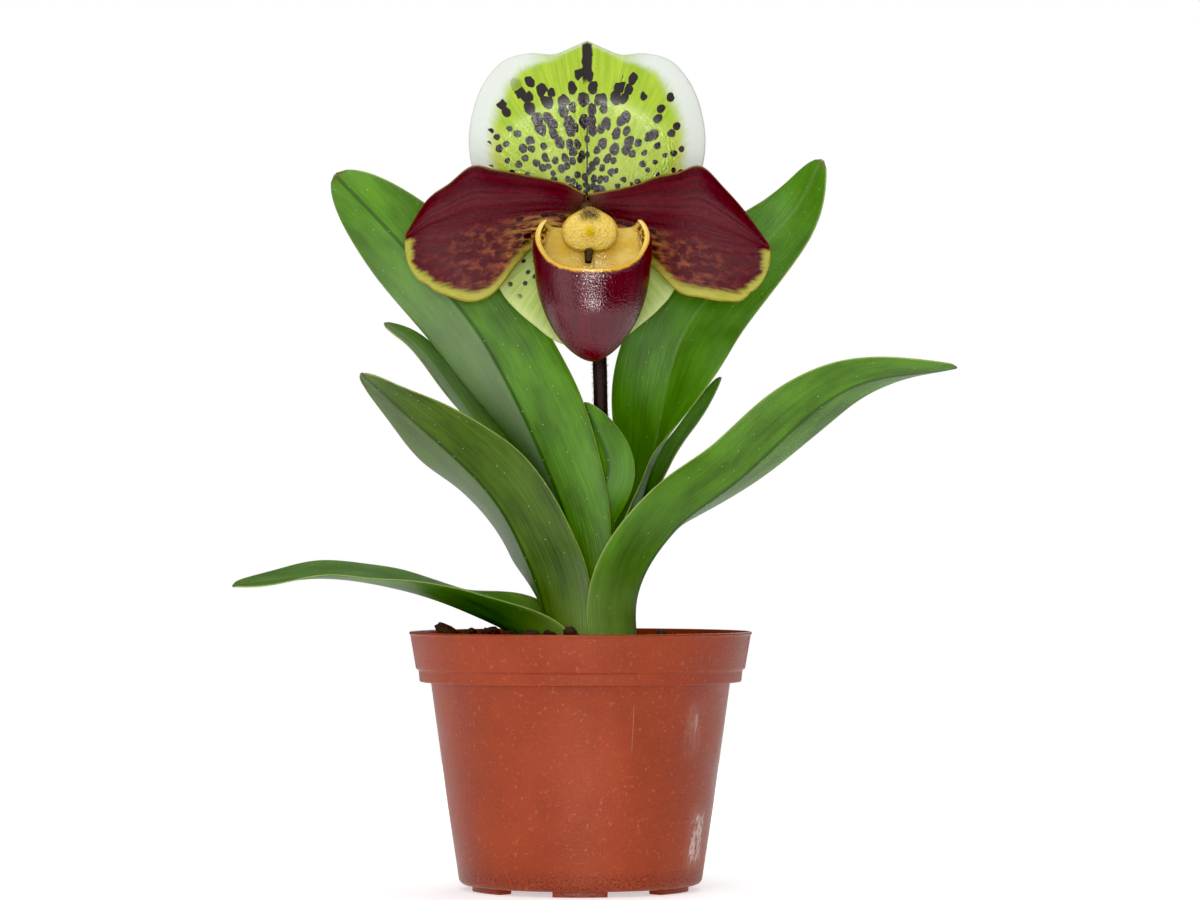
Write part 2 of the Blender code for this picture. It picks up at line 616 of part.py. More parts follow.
def lip_section(z):
    """Half width, half depth and middle of the pouch at a height."""
    if z < LIP_MOUTH_Z:
        share = (LIP_MOUTH_Z - z) / (LIP_MOUTH_Z - LIP_TOE_Z)
        swell = max(1 - share ** 1.8, 0.0) ** 0.6
        half_width = LIP_HALF_WIDTH * swell
    else:
        up = (z - LIP_MOUTH_Z) / 17.0
        swell = 1.0
        half_width = LIP_HALF_WIDTH + 1.2 * math.sin(math.pi * min(up, 1.0) * 0.8) - 4.5 * up ** 3
    back = -7.4 - 5.0 * (1 - (z - LIP_TOE_Z) / 48.0)
    half_depth = LIP_HALF_DEPTH * (0.25 * swell + 0.75 * swell ** 1.1)
    return half_width, half_depth, back - LIP_HALF_DEPTH


def lip_point(turn, share, inset):
    """A point of the pouch: turn is degrees round from the front, share is 0 at the toe and 1 at the rim."""
    toe = LIP_TOE_Z + inset
    rim = float(smooth_value(np.array([abs(turn)]), LIP_RIM)[0])
    z = toe + (rim - toe) * share
    half_width, half_depth, middle = lip_section(z - inset * (1 - share))
    a = math.radians(turn)
    x = LIP_X + max(half_width - inset, 0.05) * math.sin(a)
    y = middle - max(half_depth - inset, 0.05) * math.cos(a)
    return (x, y, z)


def build_lip(finish):
    """The slipper-shaped pouch: one thin wall, open above."""
    sides = 28
    levels = [0.0, 0.02, 0.08, 0.18, 0.32, 0.48, 0.66, 0.84, 1.0]
    turns = [-180 + 360 * k / sides for k in range(sides)]
    mesh = bmesh.new()
    outer = [[mesh.verts.new(lip_point(a, s, 0.0)) for a in turns] for s in levels[1:]]
    inner = [[mesh.verts.new(lip_point(a, s, LIP_WALL)) for a in turns] for s in levels[1:]]
    toes = [mesh.verts.new(lip_point(0, 0.0, 0.0)), mesh.verts.new(lip_point(0, 0.0, LIP_WALL))]
    for wall, toe in zip((outer, inner), toes):
        for low, high in zip(wall, wall[1:]):
            for k in range(sides):
                a, b, c, d = low[k], low[(k + 1) % sides], high[(k + 1) % sides], high[k]
                mesh.faces.new((a, b, c))
                mesh.faces.new((a, c, d))
        for k in range(sides):
            mesh.faces.new((toe, wall[0][(k + 1) % sides], wall[0][k]))
    for k in range(sides):
        mesh.faces.new((outer[-1][k], outer[-1][(k + 1) % sides], inner[-1][(k + 1) % sides], inner[-1][k]))
    return finish_object("lip_pouch", mesh, finish)


def build_column(finish):
    """The hub and column, and the shield-shaped staminode in front of them, which are one body."""
    hub_x, hub_z = HUB
    shield = Vector(SHIELD)
    hub = tube([(hub_x, HUB_BACK, hub_z), (hub_x, -4, hub_z), (hub_x, HUB_FRONT, hub_z)],
               [HUB_RADIUS] * 3, 14)
    column = finish_object("column", hub, finish)
    neck_line = [(hub_x, HUB_FRONT + 2, hub_z), (hub_x + 0.4, -13, hub_z - 3), shield + Vector((0, 0.2, 1))]
    neck = tube(neck_line, [2.7, 3.2, 2.6], 12)
    plate = bmesh.new()
    rows, sides = 5, 28
    faces = []
    for front in (True, False):
        rings = []
        for i in range(1, rows + 1):
            s = i / rows
            ring = []
            for k in range(sides):
                a = 2 * math.pi * k / sides
                reach = shield_reach(a) * s
                swell = 1.5 * (1 - s ** 2) + 0.9 + 1.3 * math.exp(-(s / 0.3) ** 2)
                depth = -swell if front else 0.9 * (1 - s ** 2)
                place = Vector((reach * math.sin(a), depth, reach * math.cos(a)))
                ring.append(plate.verts.new(shield + place))
            rings.append(ring)
        middle = plate.verts.new(shield + Vector((0, -3.7 if front else 0.9, 0)))
        for k in range(sides):
            plate.faces.new((middle, rings[0][k], rings[0][(k + 1) % sides]))
        for low, high in zip(rings, rings[1:]):
            for k in range(sides):
                a, b, c, d = low[k], low[(k + 1) % sides], high[(k + 1) % sides], high[k]
                plate.faces.new((a, b, c))
                plate.faces.new((a, c, d))
        faces.append(rings[-1])
    for k in range(sides):
        plate.faces.new((faces[0][k], faces[0][(k + 1) % sides], faces[1][(k + 1) % sides], faces[1][k]))
    apply_boolean(column, [cutter_from("neck", neck), cutter_from("plate", plate)], "UNION")
    return column


def shield_reach(turn):
    """Outline of the staminode: broad, pointed above and notched below, in millimetres from its middle."""
    up = math.cos(turn)
    wide = 8.6 + 1.2 * math.sin(turn) ** 2
    point = 1.6 * math.exp(-((turn if turn < math.pi else 2 * math.pi - turn) / 0.45) ** 2)
    notch = -1.2 * math.exp(-((turn - math.pi) / 0.3) ** 2)
    return wide - 1.4 * up * up + point + notch


def main():
    clear_scene()
    leaf_green = material("leaf_green", (0.065, 0.19, 0.02), 0.42)
    build_pot(material("terracotta_plastic", (0.42, 0.095, 0.035), 0.5))
    build_mix(material("bark_mix", (0.035, 0.018, 0.012), 0.9))
    build_crown(material("crown_tissue", (0.2, 0.24, 0.07), 0.6))
    for name, leaf in LEAVES.items():
        build_leaf(name, leaf, leaf_green)
    build_stem(material("stem_purple", (0.03, 0.012, 0.012), 0.6))
    build_ovary(material("ovary_green", (0.09, 0.10, 0.03), 0.6))
    build_bract(material("bract_green", (0.14, 0.24, 0.05), 0.5))
    sepal_green = material("sepal_green", (0.36, 0.48, 0.09), 0.4)
    build_sepals(sepal_green, material("sepal_pale", (0.42, 0.52, 0.16), 0.4))
    build_petals(material("petal_maroon", (0.12, 0.008, 0.012), 0.3))
    build_lip(material("lip_maroon", (0.13, 0.006, 0.016), 0.2))
    build_column(material("column_yellow", (0.68, 0.47, 0.06), 0.3))


main()
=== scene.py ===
"""Looks of the slipper orchid in its nursery pot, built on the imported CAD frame.

Lengths are millimetres until a mesh is made. +Z is up and the flower faces -Y. Each living piece
is rebuilt finer on the same rule as its CAD node, and each mesh carries two vector attributes that
its material reads: "place" (across -1 to 1, along 0 to 1, which face) and "flat" (millimetres
across, millimetres along, millimetres from the edge).
"""

import json
import math
import random

import bmesh
import bpy
import numpy as np
from mathutils import Matrix, Vector, noise

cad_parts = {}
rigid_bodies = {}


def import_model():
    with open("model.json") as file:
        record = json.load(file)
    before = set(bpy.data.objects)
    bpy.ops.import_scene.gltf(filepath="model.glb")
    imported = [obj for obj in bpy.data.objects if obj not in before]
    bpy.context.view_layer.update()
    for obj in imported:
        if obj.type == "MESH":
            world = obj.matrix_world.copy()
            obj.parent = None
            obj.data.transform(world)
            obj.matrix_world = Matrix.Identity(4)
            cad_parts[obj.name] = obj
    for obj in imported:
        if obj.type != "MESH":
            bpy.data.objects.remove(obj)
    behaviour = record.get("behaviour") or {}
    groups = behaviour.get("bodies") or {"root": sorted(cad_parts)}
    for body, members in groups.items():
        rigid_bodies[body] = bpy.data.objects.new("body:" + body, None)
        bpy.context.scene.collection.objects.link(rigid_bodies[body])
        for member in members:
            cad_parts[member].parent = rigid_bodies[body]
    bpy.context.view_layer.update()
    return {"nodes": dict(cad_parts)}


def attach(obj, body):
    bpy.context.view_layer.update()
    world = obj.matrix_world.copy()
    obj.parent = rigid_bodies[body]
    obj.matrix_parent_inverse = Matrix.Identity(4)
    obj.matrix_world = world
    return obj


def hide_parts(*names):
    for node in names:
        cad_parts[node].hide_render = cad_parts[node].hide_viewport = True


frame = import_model()

MM = 0.001
SEAT_GAP = 0.3

# Pot
POT_SIDES = 160
RIM_RADIUS = 60.0
POT_HEIGHT = 90.0
COLLAR_FOOT_RADIUS = 56.2
COLLAR_FOOT_Z = 72.5
COLLAR_STEP_Z = 76.6
COLLAR_STEP_RADIUS = 57.1
BODY_TOP_RADIUS = 52.3
BODY_FOOT_RADIUS = 42.6
HEEL_RADIUS = 2.6
WALL = 1.3
FLOOR_THICKNESS = 1.6
FOOT_HEIGHT = 1.9
FOOT_COUNT = 6
FOOT_RING = (33.0, 39.0)
FOOT_ARC = math.radians(28)
MIDDLE_FOOT_RADIUS = 9.0
DRAIN_COUNT = 6
DRAIN_RADIUS = 4.0
DRAIN_RING = 26.0

# Potting mix and crown
MIX_LEVEL = 84.5
MIX_RADIUS = 56.7
MIX_SWELL = 2.0
CHIP_COUNT = 60
CHIP_SIZE = (4.0, 8.0)
CHIP_SEED = 11
SMALL_CHIP_COUNT = 900
SMALL_CHIP_SIZE = (0.7, 2.6)
CROWN = (5.0, 2.0)
HOLE_RADIUS = 23.5
HOLE_FLOOR = 66.0
CROWN_TOP = 72.0

# Leaves, as in the CAD model
LEAF_FOOT = CROWN_TOP + SEAT_GAP
LEAF_ROWS = 150
LEAF_HALF = 22
KEEL_THICKNESS = 1.3
EDGE_THICKNESS = 0.7
SHEATH_SHARE = 0.35
SHEATH_WRAP = 0.88
UPRIGHT_SHARE = 0.14
# A leaf's sheen value sets the strength of a painted sheen, a painted reflection on one half of its blade.
LEAVES = {
    "leaf_left_low": dict(
        rank=1, nest=18, width=14.7, tip=3.5, roll=(15, 5, -1),
        keel=(73, 81), edge=(61, 78),
        spine=[(-19, 0, 86), (-39, -7, 97), (-62, -13, 105), (-89, -17, 109), (-120, -20, 106)],
        upper=(0.072, 0.175, 0.012), under=(0.058, 0.135, 0.014)),
    "leaf_left_front": dict(
        rank=1, nest=14, width=19.4, tip=4, roll=(46, 56, 37),
        keel=(72, 85), edge=(54, 84),
        spine=[(-10, -2, 89), (-18, -6, 114), (-33, -12, 140), (-64, -28, 169), (-75, -32, 179)],
        upper=(0.05, 0.13, 0.010), under=(0.058, 0.100, 0.010), painted_sheen=0.5),
    "leaf_left_tall": dict(
        rank=1, nest=6, width=21.3, tip=6, roll=(45, 69, 60),
        keel=(68, 82), edge=(49, 80),
        spine=[(1, 1, 101), (-8, 3, 138), (-34, 8, 192), (-63, 8, 226), (-86, 1, 250)],
        upper=(0.07, 0.19, 0.010), under=(0.078, 0.200, 0.008), painted_sheen=0.7),
    "leaf_left_back": dict(
        rank=1, nest=10, width=13.5, tip=4, roll=(-33, -32, -35),
        keel=(70, 83), edge=(51, 83),
        spine=[(-7, 7, 103), (-19, 19, 134), (-39, 28, 165), (-57, 28, 189), (-70, 27, 199)],
        upper=(0.072, 0.165, 0.011), under=(0.06, 0.14, 0.012)),
    "leaf_centre_young": dict(
        rank=1, nest=4, width=11.4, tip=3.5, roll=(25, 69, 76),
        keel=(73, 86), edge=(20, 84),
        spine=[(3, 1, 99), (1, 2, 127), (10, 1, 147), (1, 6, 170)],
        upper=(0.080, 0.215, 0.011), under=(0.078, 0.21, 0.009)),
    "leaf_right_tall": dict(
        rank=-1, nest=8, width=21.4, tip=3, roll=(18, 92, 67),
        keel=(77, 83), edge=(64, 81),
        spine=[(15.2, 4, 113), (26, 20, 151), (38, 26, 198), (74, 32, 236), (86, 25, 257)],
        upper=(0.080, 0.215, 0.012), under=(0.06, 0.16, 0.014)),
    "leaf_right_low": dict(
        rank=-1, nest=16, width=17.4, tip=3.5, roll=(-38, -57, -25),
        keel=(69, 81), edge=(55, 78),
        spine=[(19.2, -4.4, 102), (32, -11.5, 125), (55, -4, 143), (92, -7, 174), (131, -8, 182)],
        upper=(0.068, 0.165, 0.009), under=(0.070, 0.170, 0.009)),
    # This leaf's colours are painted lighter than the others', a painted fill light for a leaf that turns
    # away from the lights.
    "leaf_right_back": dict(
        rank=-1, nest=12, width=9.0, tip=3, roll=(18, 33, 42),
        keel=(71, 83), edge=(62, 81),
        spine=[(16.4, 6.1, 106), (25, 19.3, 137), (39, 32, 163), (50, 37, 180)],
        upper=(0.12, 0.30, 0.020), under=(0.11, 0.27, 0.020)),
}

# Flower, as in the CAD model
HUB = (2.3, 236.6)
HUB_RADIUS = 3.0
HUB_FRONT, HUB_BACK = -10.0, 2.0
SPOT_ROW_DEGREES = 8.6
SPOT_STEP = 3.9
SEPAL_THICKNESS = 1.0
PETAL_THICKNESS = 1.1
DORSAL_OUTLINE = (
    (0, 59.8), (5, 57.8), (12, 56.3), (20, 59.1), (28, 60.6), (38, 58.2),
    (50, 52.8), (62, 46.8), (75, 39.5), (90, 29.0))
VENTRAL_OUTLINE = (
    (0, 48.0), (14, 46.5), (24, 44.0), (36, 42.3), (45, 41.3), (52, 40.0), (62, 36.5), (76, 28.0))
PETAL_LEFT = dict(
    spine=[(-1.2, -4.5, 236.4), (-14, -7.5, 236.2), (-38, -11, 232.6), (-52, -12, 229.4), (-61, -11, 226.6)],
    above=(6.5, 10, 12, 14.5, 17, 19.5, 15, 11, 0.8), below=(3.5, 7, 10, 17, 26, 28, 24.5, 18, 0.8))
PETAL_RIGHT = dict(
    spine=[(5.8, -4.5, 236.4), (22, -8, 231.8), (36, -11, 229.2), (49, -12, 226.6), (66, -11, 223)],
    above=(6.5, 9.5, 13, 17.5, 20.5, 24, 18, 10.5, 0.8), below=(3.5, 7, 10, 15, 21.5, 22, 21.5, 18, 0.8))
LIP_X = 4.2
LIP_TOE_Z = 183.2
LIP_MOUTH_Z = 216.0
LIP_HALF_WIDTH = 20.0
LIP_HALF_DEPTH = 15.0
LIP_WALL = 1.2
LIP_RIM = (
    (0, 214.5), (25, 215.3), (48, 218.6), (70, 226.0), (88, 232.0),
    (104, 232.0), (128, 230.5), (156, 230.5), (180, 233.2))
SHIELD = (3.3, -17.5, 228.6)
STEM_LINE = [
    (6.2, 2.4, 72.6), (7.2, 3.4, 95), (7.4, 6.8, 135), (7.0, 12.0, 170), (6.4, 17.0, 192), (5.6, 20.5, 205)]
STEM_RADIUS = 2.6
OVARY_LINE = [(5.5, 20.8, 205.5), (5.0, 23.0, 214), (4.0, 18.5, 226), (2.9, 9.5, 234.6), (2.3, 2.9, 236.5)]
OVARY_RADII = (2.5, 3.4, 3.6, 3.1, 2.7)
BRACT_LINE = [(6.0, 21.5, 196), (5.6, 25.0, 206), (5.2, 28.3, 215), (5.0, 29.4, 227)]
BRACT_WIDTH = 7.4

# Stage, in metres and watts
FLOOR_RADIUS = 0.9
FLOOR_SIDES = 96
CAMERA_PLACE = (0.0068, -1.6, 0.122)
CAMERA_TARGET = (0.0068, 0.0, 0.1534)
CAMERA_LENS_MM = 137.2
LIGHTS_AIM = (0, 0, 0.16)
LIGHTS = (  # name, place, width and height, power
    ("front", (0.0, -1.75, 0.20), (1.15, 0.40), 10),
    ("glint", (0.0, -1.72, 0.24), (0.16, 0.16), 4),
    ("main", (-0.3, -1.45, 1.15), (1.1, 1.1), 9),
    ("left", (-1.25, -1.0, 0.40), (1.0, 1.0), 4),
    ("top", (0.0, 0.1, 1.5), (1.2, 1.2), 8),
    ("back", (0.4, 1.2, 0.7), (1.0, 0.8), 4))


# Curves and surfaces

def ease(x):
    x = np.clip(x, 0, 1)
    return x * x * (3 - 2 * x)


def between(t, knots, values):
    """A value that eases from each knot to the next."""
    found = np.full(np.shape(t), float(values[0]))
    for low, high, first, last in zip(knots, knots[1:], values, values[1:]):
        found = found + (last - first) * ease((t - low) / (high - low))
    return found


def smooth_line(points, count):
    """Evenly spaced points along a smooth curve through the given ones."""
    through = np.asarray(points, float)
    through = np.vstack([2 * through[0] - through[1], through, 2 * through[-1] - through[-2]])
    found = []
    for i in range(1, len(through) - 2):
        a, b, c, d = through[i - 1:i + 3]
        for t in np.linspace(0, 1, 24, endpoint=False):
            bend = (2 * a - 5 * b + 4 * c - d) * t ** 2 + (3 * b - a - 3 * c + d) * t ** 3
            found.append(0.5 * (2 * b + (c - a) * t + bend))
    found = np.array(found + [through[-2]])
    along = np.r_[0, np.cumsum(np.linalg.norm(np.diff(found, axis=0), axis=1))]
    at = np.linspace(0, along[-1], count)
    return np.stack([np.interp(at, along, found[:, k]) for k in range(3)], 1)


def smooth_value(at, pairs):
    """A smooth value through (place, value) pairs, at each of the places given."""
    places, values = np.array(pairs, float).T
    slopes = np.gradient(values, places)
    at = np.clip(at, places[0], places[-1])
    i = np.clip(np.searchsorted(places, at) - 1, 0, len(places) - 2)
    width = places[i + 1] - places[i]
    t = (at - places[i]) / width
    return (values[i] * (1 + 2 * t) * (1 - t) ** 2 + slopes[i] * width * t * (1 - t) ** 2
            + values[i + 1] * t ** 2 * (3 - 2 * t) - slopes[i + 1] * width * t ** 2 * (1 - t))


def normals_of(grid):
    across = np.cross(np.gradient(grid, axis=0), np.gradient(grid, axis=1))
    return across / np.maximum(np.linalg.norm(across, axis=2, keepdims=True), 1e-9)


def lengths_along(grid, axis):
    """Distance in millimetres along one direction of a grid, from its first line of points."""
    steps = np.linalg.norm(np.diff(grid, axis=axis), axis=2)
    start = np.zeros_like(np.take(steps, [0], axis=axis))
    return np.cumsum(np.concatenate([start, steps], axis=axis), axis=axis)


def stacked(*parts):
    """Vectors whose parts are arrays or numbers that fit one another."""
    return np.stack(np.broadcast_arrays(*parts), -1)


# Meshes

def link(name, data):
    """Adds an object that holds the data."""
    made = bpy.data.objects.new(name, data)
    bpy.context.scene.collection.objects.link(made)
    return made


def add_mesh(name, points, faces, material, smooth=True, **attributes):
    """Adds one mesh, in millimetres, with its vector attributes and material."""
    mesh = bpy.data.meshes.new(name)
    mesh.from_pydata((np.asarray(points, float) * MM).tolist(), [], faces)
    for key, values in attributes.items():
        layer = mesh.attributes.new(key, "FLOAT_VECTOR", "POINT")
        layer.data.foreach_set("vector", np.asarray(values, np.float32).ravel())
    mesh.materials.append(material)
    mesh.update()
    work = bmesh.new()
    work.from_mesh(mesh)
    bmesh.ops.recalc_face_normals(work, faces=work.faces[:])
    work.to_mesh(mesh)
    work.free()
    if smooth:
        mesh.shade_smooth()
    return link(name, mesh)


def turned_faces(rings, sides):
    """Faces between rings of points numbered in order, where a ring of one point is on the axis."""
    faces, start = [], 0
    for low, high in zip(rings, rings[1:]):
        for k in range(sides):
            m = (k + 1) % sides
            corners = [start + k % low, start + m % low, start + low + m % high, start + low + k % high]
            faces.append(tuple(dict.fromkeys(corners)))
        start += low
    return faces


def tube_faces(count, sides, capped=True):
    """Faces of a tube of equal rings, with a cap at each end."""
    caps = [tuple(range(sides)), tuple(range((count - 1) * sides, count * sides))]
    return turned_faces([sides] * count, sides) + (caps if capped else [])


def sheet_piece(name, grid, thickness, place, flat, material, foot=None):
    """A closed blade round a middle surface: its two faces, and a strip round the edge."""
    rows, columns = grid.shape[:2]
    offset = normals_of(grid) * (thickness / 2)[..., None]
    points, places = np.stack([grid + offset, grid - offset]), np.stack([place, place])
    if foot is not None:
        points[:, 0, :, 2] = foot
    places[1, ..., 2] = 1.0
    count = rows * columns
    ids = np.arange(count).reshape(rows, columns)
    quads = np.stack([ids[:-1, :-1], ids[:-1, 1:], ids[1:, 1:], ids[1:, :-1]], -1).reshape(-1, 4)
    edge = np.r_[ids[0], ids[1:, -1], ids[-1, -2::-1], ids[-2:0:-1, 0]]
    after = np.roll(edge, -1)
    strip = np.stack([after, edge, edge + count, after + count], 1)
    faces = np.concatenate([quads, quads[:, ::-1] + count, strip]).tolist()
    return add_mesh(name, points.reshape(-1, 3), faces, material, place=places, flat=np.stack([flat, flat]))


def show(piece, slot, *nodes):
    """The piece rides with the plant and stands for the nodes. The slot is not used."""
    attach(piece, "root")
    if nodes:
        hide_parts(*nodes)
    return piece


# Materials

class Value:
    """An output of a node. Arithmetic on it adds math nodes, and | takes the larger of two."""

    def __init__(self, graph, socket):
        self.graph, self.socket = graph, socket

    def __add__(self, other):
        return self.graph.math("ADD", self, other)

    def __sub__(self, other):
        return self.graph.math("SUBTRACT", self, other)

    def __rsub__(self, other):
        return self.graph.math("SUBTRACT", other, self)

    def __mul__(self, other):
        return self.graph.math("MULTIPLY", self, other)

    def __truediv__(self, other):
        return self.graph.math("DIVIDE", self, other)

    def __or__(self, other):
        return self.graph.math("MAXIMUM", self, other)

    def __abs__(self):
        return self.graph.math("ABSOLUTE", self)

    def fade(self, low, high, first=0.0, last=1.0):
        """Eases from first to last as the value goes from low to high."""
        inputs = {"Value": self, "From Min": low, "From Max": high, "To Min": first, "To Max": last}
        return self.graph.node("ShaderNodeMapRange", inputs, interpolation_type="SMOOTHSTEP")[0]


class Graph:
    """One material's nodes. Most methods add a node and return its output as a Value."""

    def __init__(self, name, roughness=0.5, **constants):
        self.material = bpy.data.materials.new(name)
        self.material.use_nodes = True
        self.nodes = self.material.node_tree.nodes
        self.links = self.material.node_tree.links
        self.shader = self.nodes["Principled BSDF"]
        self.set(Roughness=roughness, **constants)

    def set(self, **inputs):
        for key, value in inputs.items():
            self.feed(self.shader.inputs[key.replace("_", " ")], value)

    def feed(self, socket, value):
        if isinstance(value, Value):
            self.links.new(value.socket, socket)
        elif isinstance(value, tuple) and len(value) == 3 and socket.type == "RGBA":
            socket.default_value = (*value, 1.0)
        else:
            socket.default_value = value

    def node(self, kind, inputs, **settings):
        """Adds a node with these settings, and inputs by name or number. Returns its outputs."""
        made = self.nodes.new(kind)
        for key, value in settings.items():
            setattr(made, key, value)
        for key, value in inputs.items():
            self.feed(made.inputs[key], value)
        return [Value(self, socket) for socket in made.outputs]

    def attribute(self, name):
        return self.node("ShaderNodeAttribute", {}, attribute_name=name)[1]

    def object_place(self):
        return self.node("ShaderNodeTexCoord", {})[3]

    def parts(self, vector):
        return self.node("ShaderNodeSeparateXYZ", {0: vector})

    def joined(self, x, y):
        return self.node("ShaderNodeCombineXYZ", {0: x, 1: y})[0]

    def scaled(self, vector, factors):
        return self.node("ShaderNodeVectorMath", {0: vector, 1: factors}, operation="MULTIPLY")[0]

    def math(self, operation, a, b=0.0):
        return self.node("ShaderNodeMath", {0: a, 1: b}, operation=operation)[0]

    def distance(self, x, y):
        return self.math("SQRT", x * x + y * y)

    def noise(self, vector, scale, detail=3, roughness=0.5):
        """Noise whose scale is one number, or one for each axis."""
        if isinstance(scale, tuple):
            vector, scale = self.scaled(vector, scale), 1.0
        inputs = {"Vector": vector, "Scale": scale, "Detail": detail, "Roughness": roughness}
        return self.node("ShaderNodeTexNoise", inputs)[0]

    def dots(self, vector, randomness=1.0):
        """(distance, random colour, middle) of the nearest cell, on a plane."""
        inputs = {"Vector": vector, "Scale": 1.0, "Randomness": randomness}
        return self.node("ShaderNodeTexVoronoi", inputs, voronoi_dimensions="2D")[:3]

    def mix(self, share, a, b):
        inputs = {0: share, 6: a, 7: b}
        return self.node("ShaderNodeMix", inputs, data_type="RGBA", blend_type="MIX")[2]

    def paint(self, colour, *coats):
        """The colour with each (share, colour) laid over it in turn."""
        for share, coat in coats:
            colour = self.mix(share, colour, coat)
        return colour

    def bump(self, height, depth, **under):
        """A bump of the given depth in millimetres, over another normal if one is given."""
        inputs = {"Height": height, "Strength": 1.0, "Distance": depth * MM, **under}
        return self.node("ShaderNodeBump", inputs)[0]

    def finish(self, colour, height, depth, **inputs):
        self.set(Base_Color=colour, Normal=self.bump(height, depth), **inputs)
        return self.material


def leaf_material(name, upper, under, painted_sheen):
    """Waxy leaf: long fine veins, a pale margin, a keel line, paler sheath and slight mottling.

    The last argument sets the strength of a painted grey-green sheen, a painted reflection laid on the half
    of the upper face that its sign names.
    """
    g = Graph(name, IOR=1.45, Specular_IOR_Level=0.4)
    across, along, side = g.parts(g.attribute("place"))
    flat = g.attribute("flat")
    across_mm, _, edge_mm = g.parts(flat)
    streaks = g.noise(flat, (1.1, 0.012, 0), 4, 0.6)
    veins = g.noise(flat, (3.6, 0.03, 0), 2)
    tone = g.noise(flat, (0.10, 0.035, 0), 3, 0.55).fade(0.3, 0.7)
    cells = g.noise(flat, 2.4, 2, 0.6)
    top, low = (g.mix(tone, tuple(dark * c for c in face), tuple(light * c for c in face))
                for face, dark, light in ((upper, 0.62, 1.35), (under, 0.70, 1.25)))
    keel = abs(across_mm).fade(1.1, 0.25)
    half = (across * math.copysign(1.0, painted_sheen)).fade(0.0, 0.06)
    # Painted sheen: a grey-green painted reflection along one half of the first face.
    painted_sheen_mask = half * along.fade(0.95, 0.55) * (1 - side) * streaks.fade(0.2, 0.8, 0.75, 1.0)
    ragged = edge_mm + g.noise(flat, (0, 0.5, 0), 2) * 0.35
    gap, random_colour, _ = g.dots(g.scaled(flat, (0.22, 0.22, 0)))
    speck = gap.fade(0.055, 0.03) * g.parts(random_colour)[0].fade(0.80, 0.84)
    colour = g.paint(
        g.mix(side, top, low),
        (streaks.fade(0.35, 0.75, 0.0, 0.30), (0.12, 0.28, 0.02)),
        (veins.fade(0.55, 0.35, 0.0, 0.22), (0.02, 0.06, 0.006)),
        (cells.fade(0.5, 0.8, 0.0, 0.12), (0.20, 0.33, 0.06)),
        (keel * (1 - side) * 0.65, (0.018, 0.055, 0.006)),
        (keel * side * 0.55, (0.15, 0.26, 0.05)),
        # the painted sheen, a grey-green painted reflection on one half of the blade
        (painted_sheen_mask * abs(painted_sheen), (0.25, 0.32, 0.19)),
        (along.fade(0.28, 0.02) * 0.75, (0.23, 0.33, 0.07)),
        (ragged.fade(0.75, 0.30, 0.0, 0.6), (0.36, 0.44, 0.12)),
        (along.fade(0.985, 1.0, 0.0, 0.5), (0.12, 0.07, 0.02)),
        (speck * 0.6, (0.50, 0.52, 0.40)))
    roughness = streaks.fade(0.3, 0.7, 0.34, 0.46) + cells * 0.06
    return g.finish(colour, streaks * 0.8 + veins * 0.5 + cells * 0.18, 0.22, Roughness=roughness)


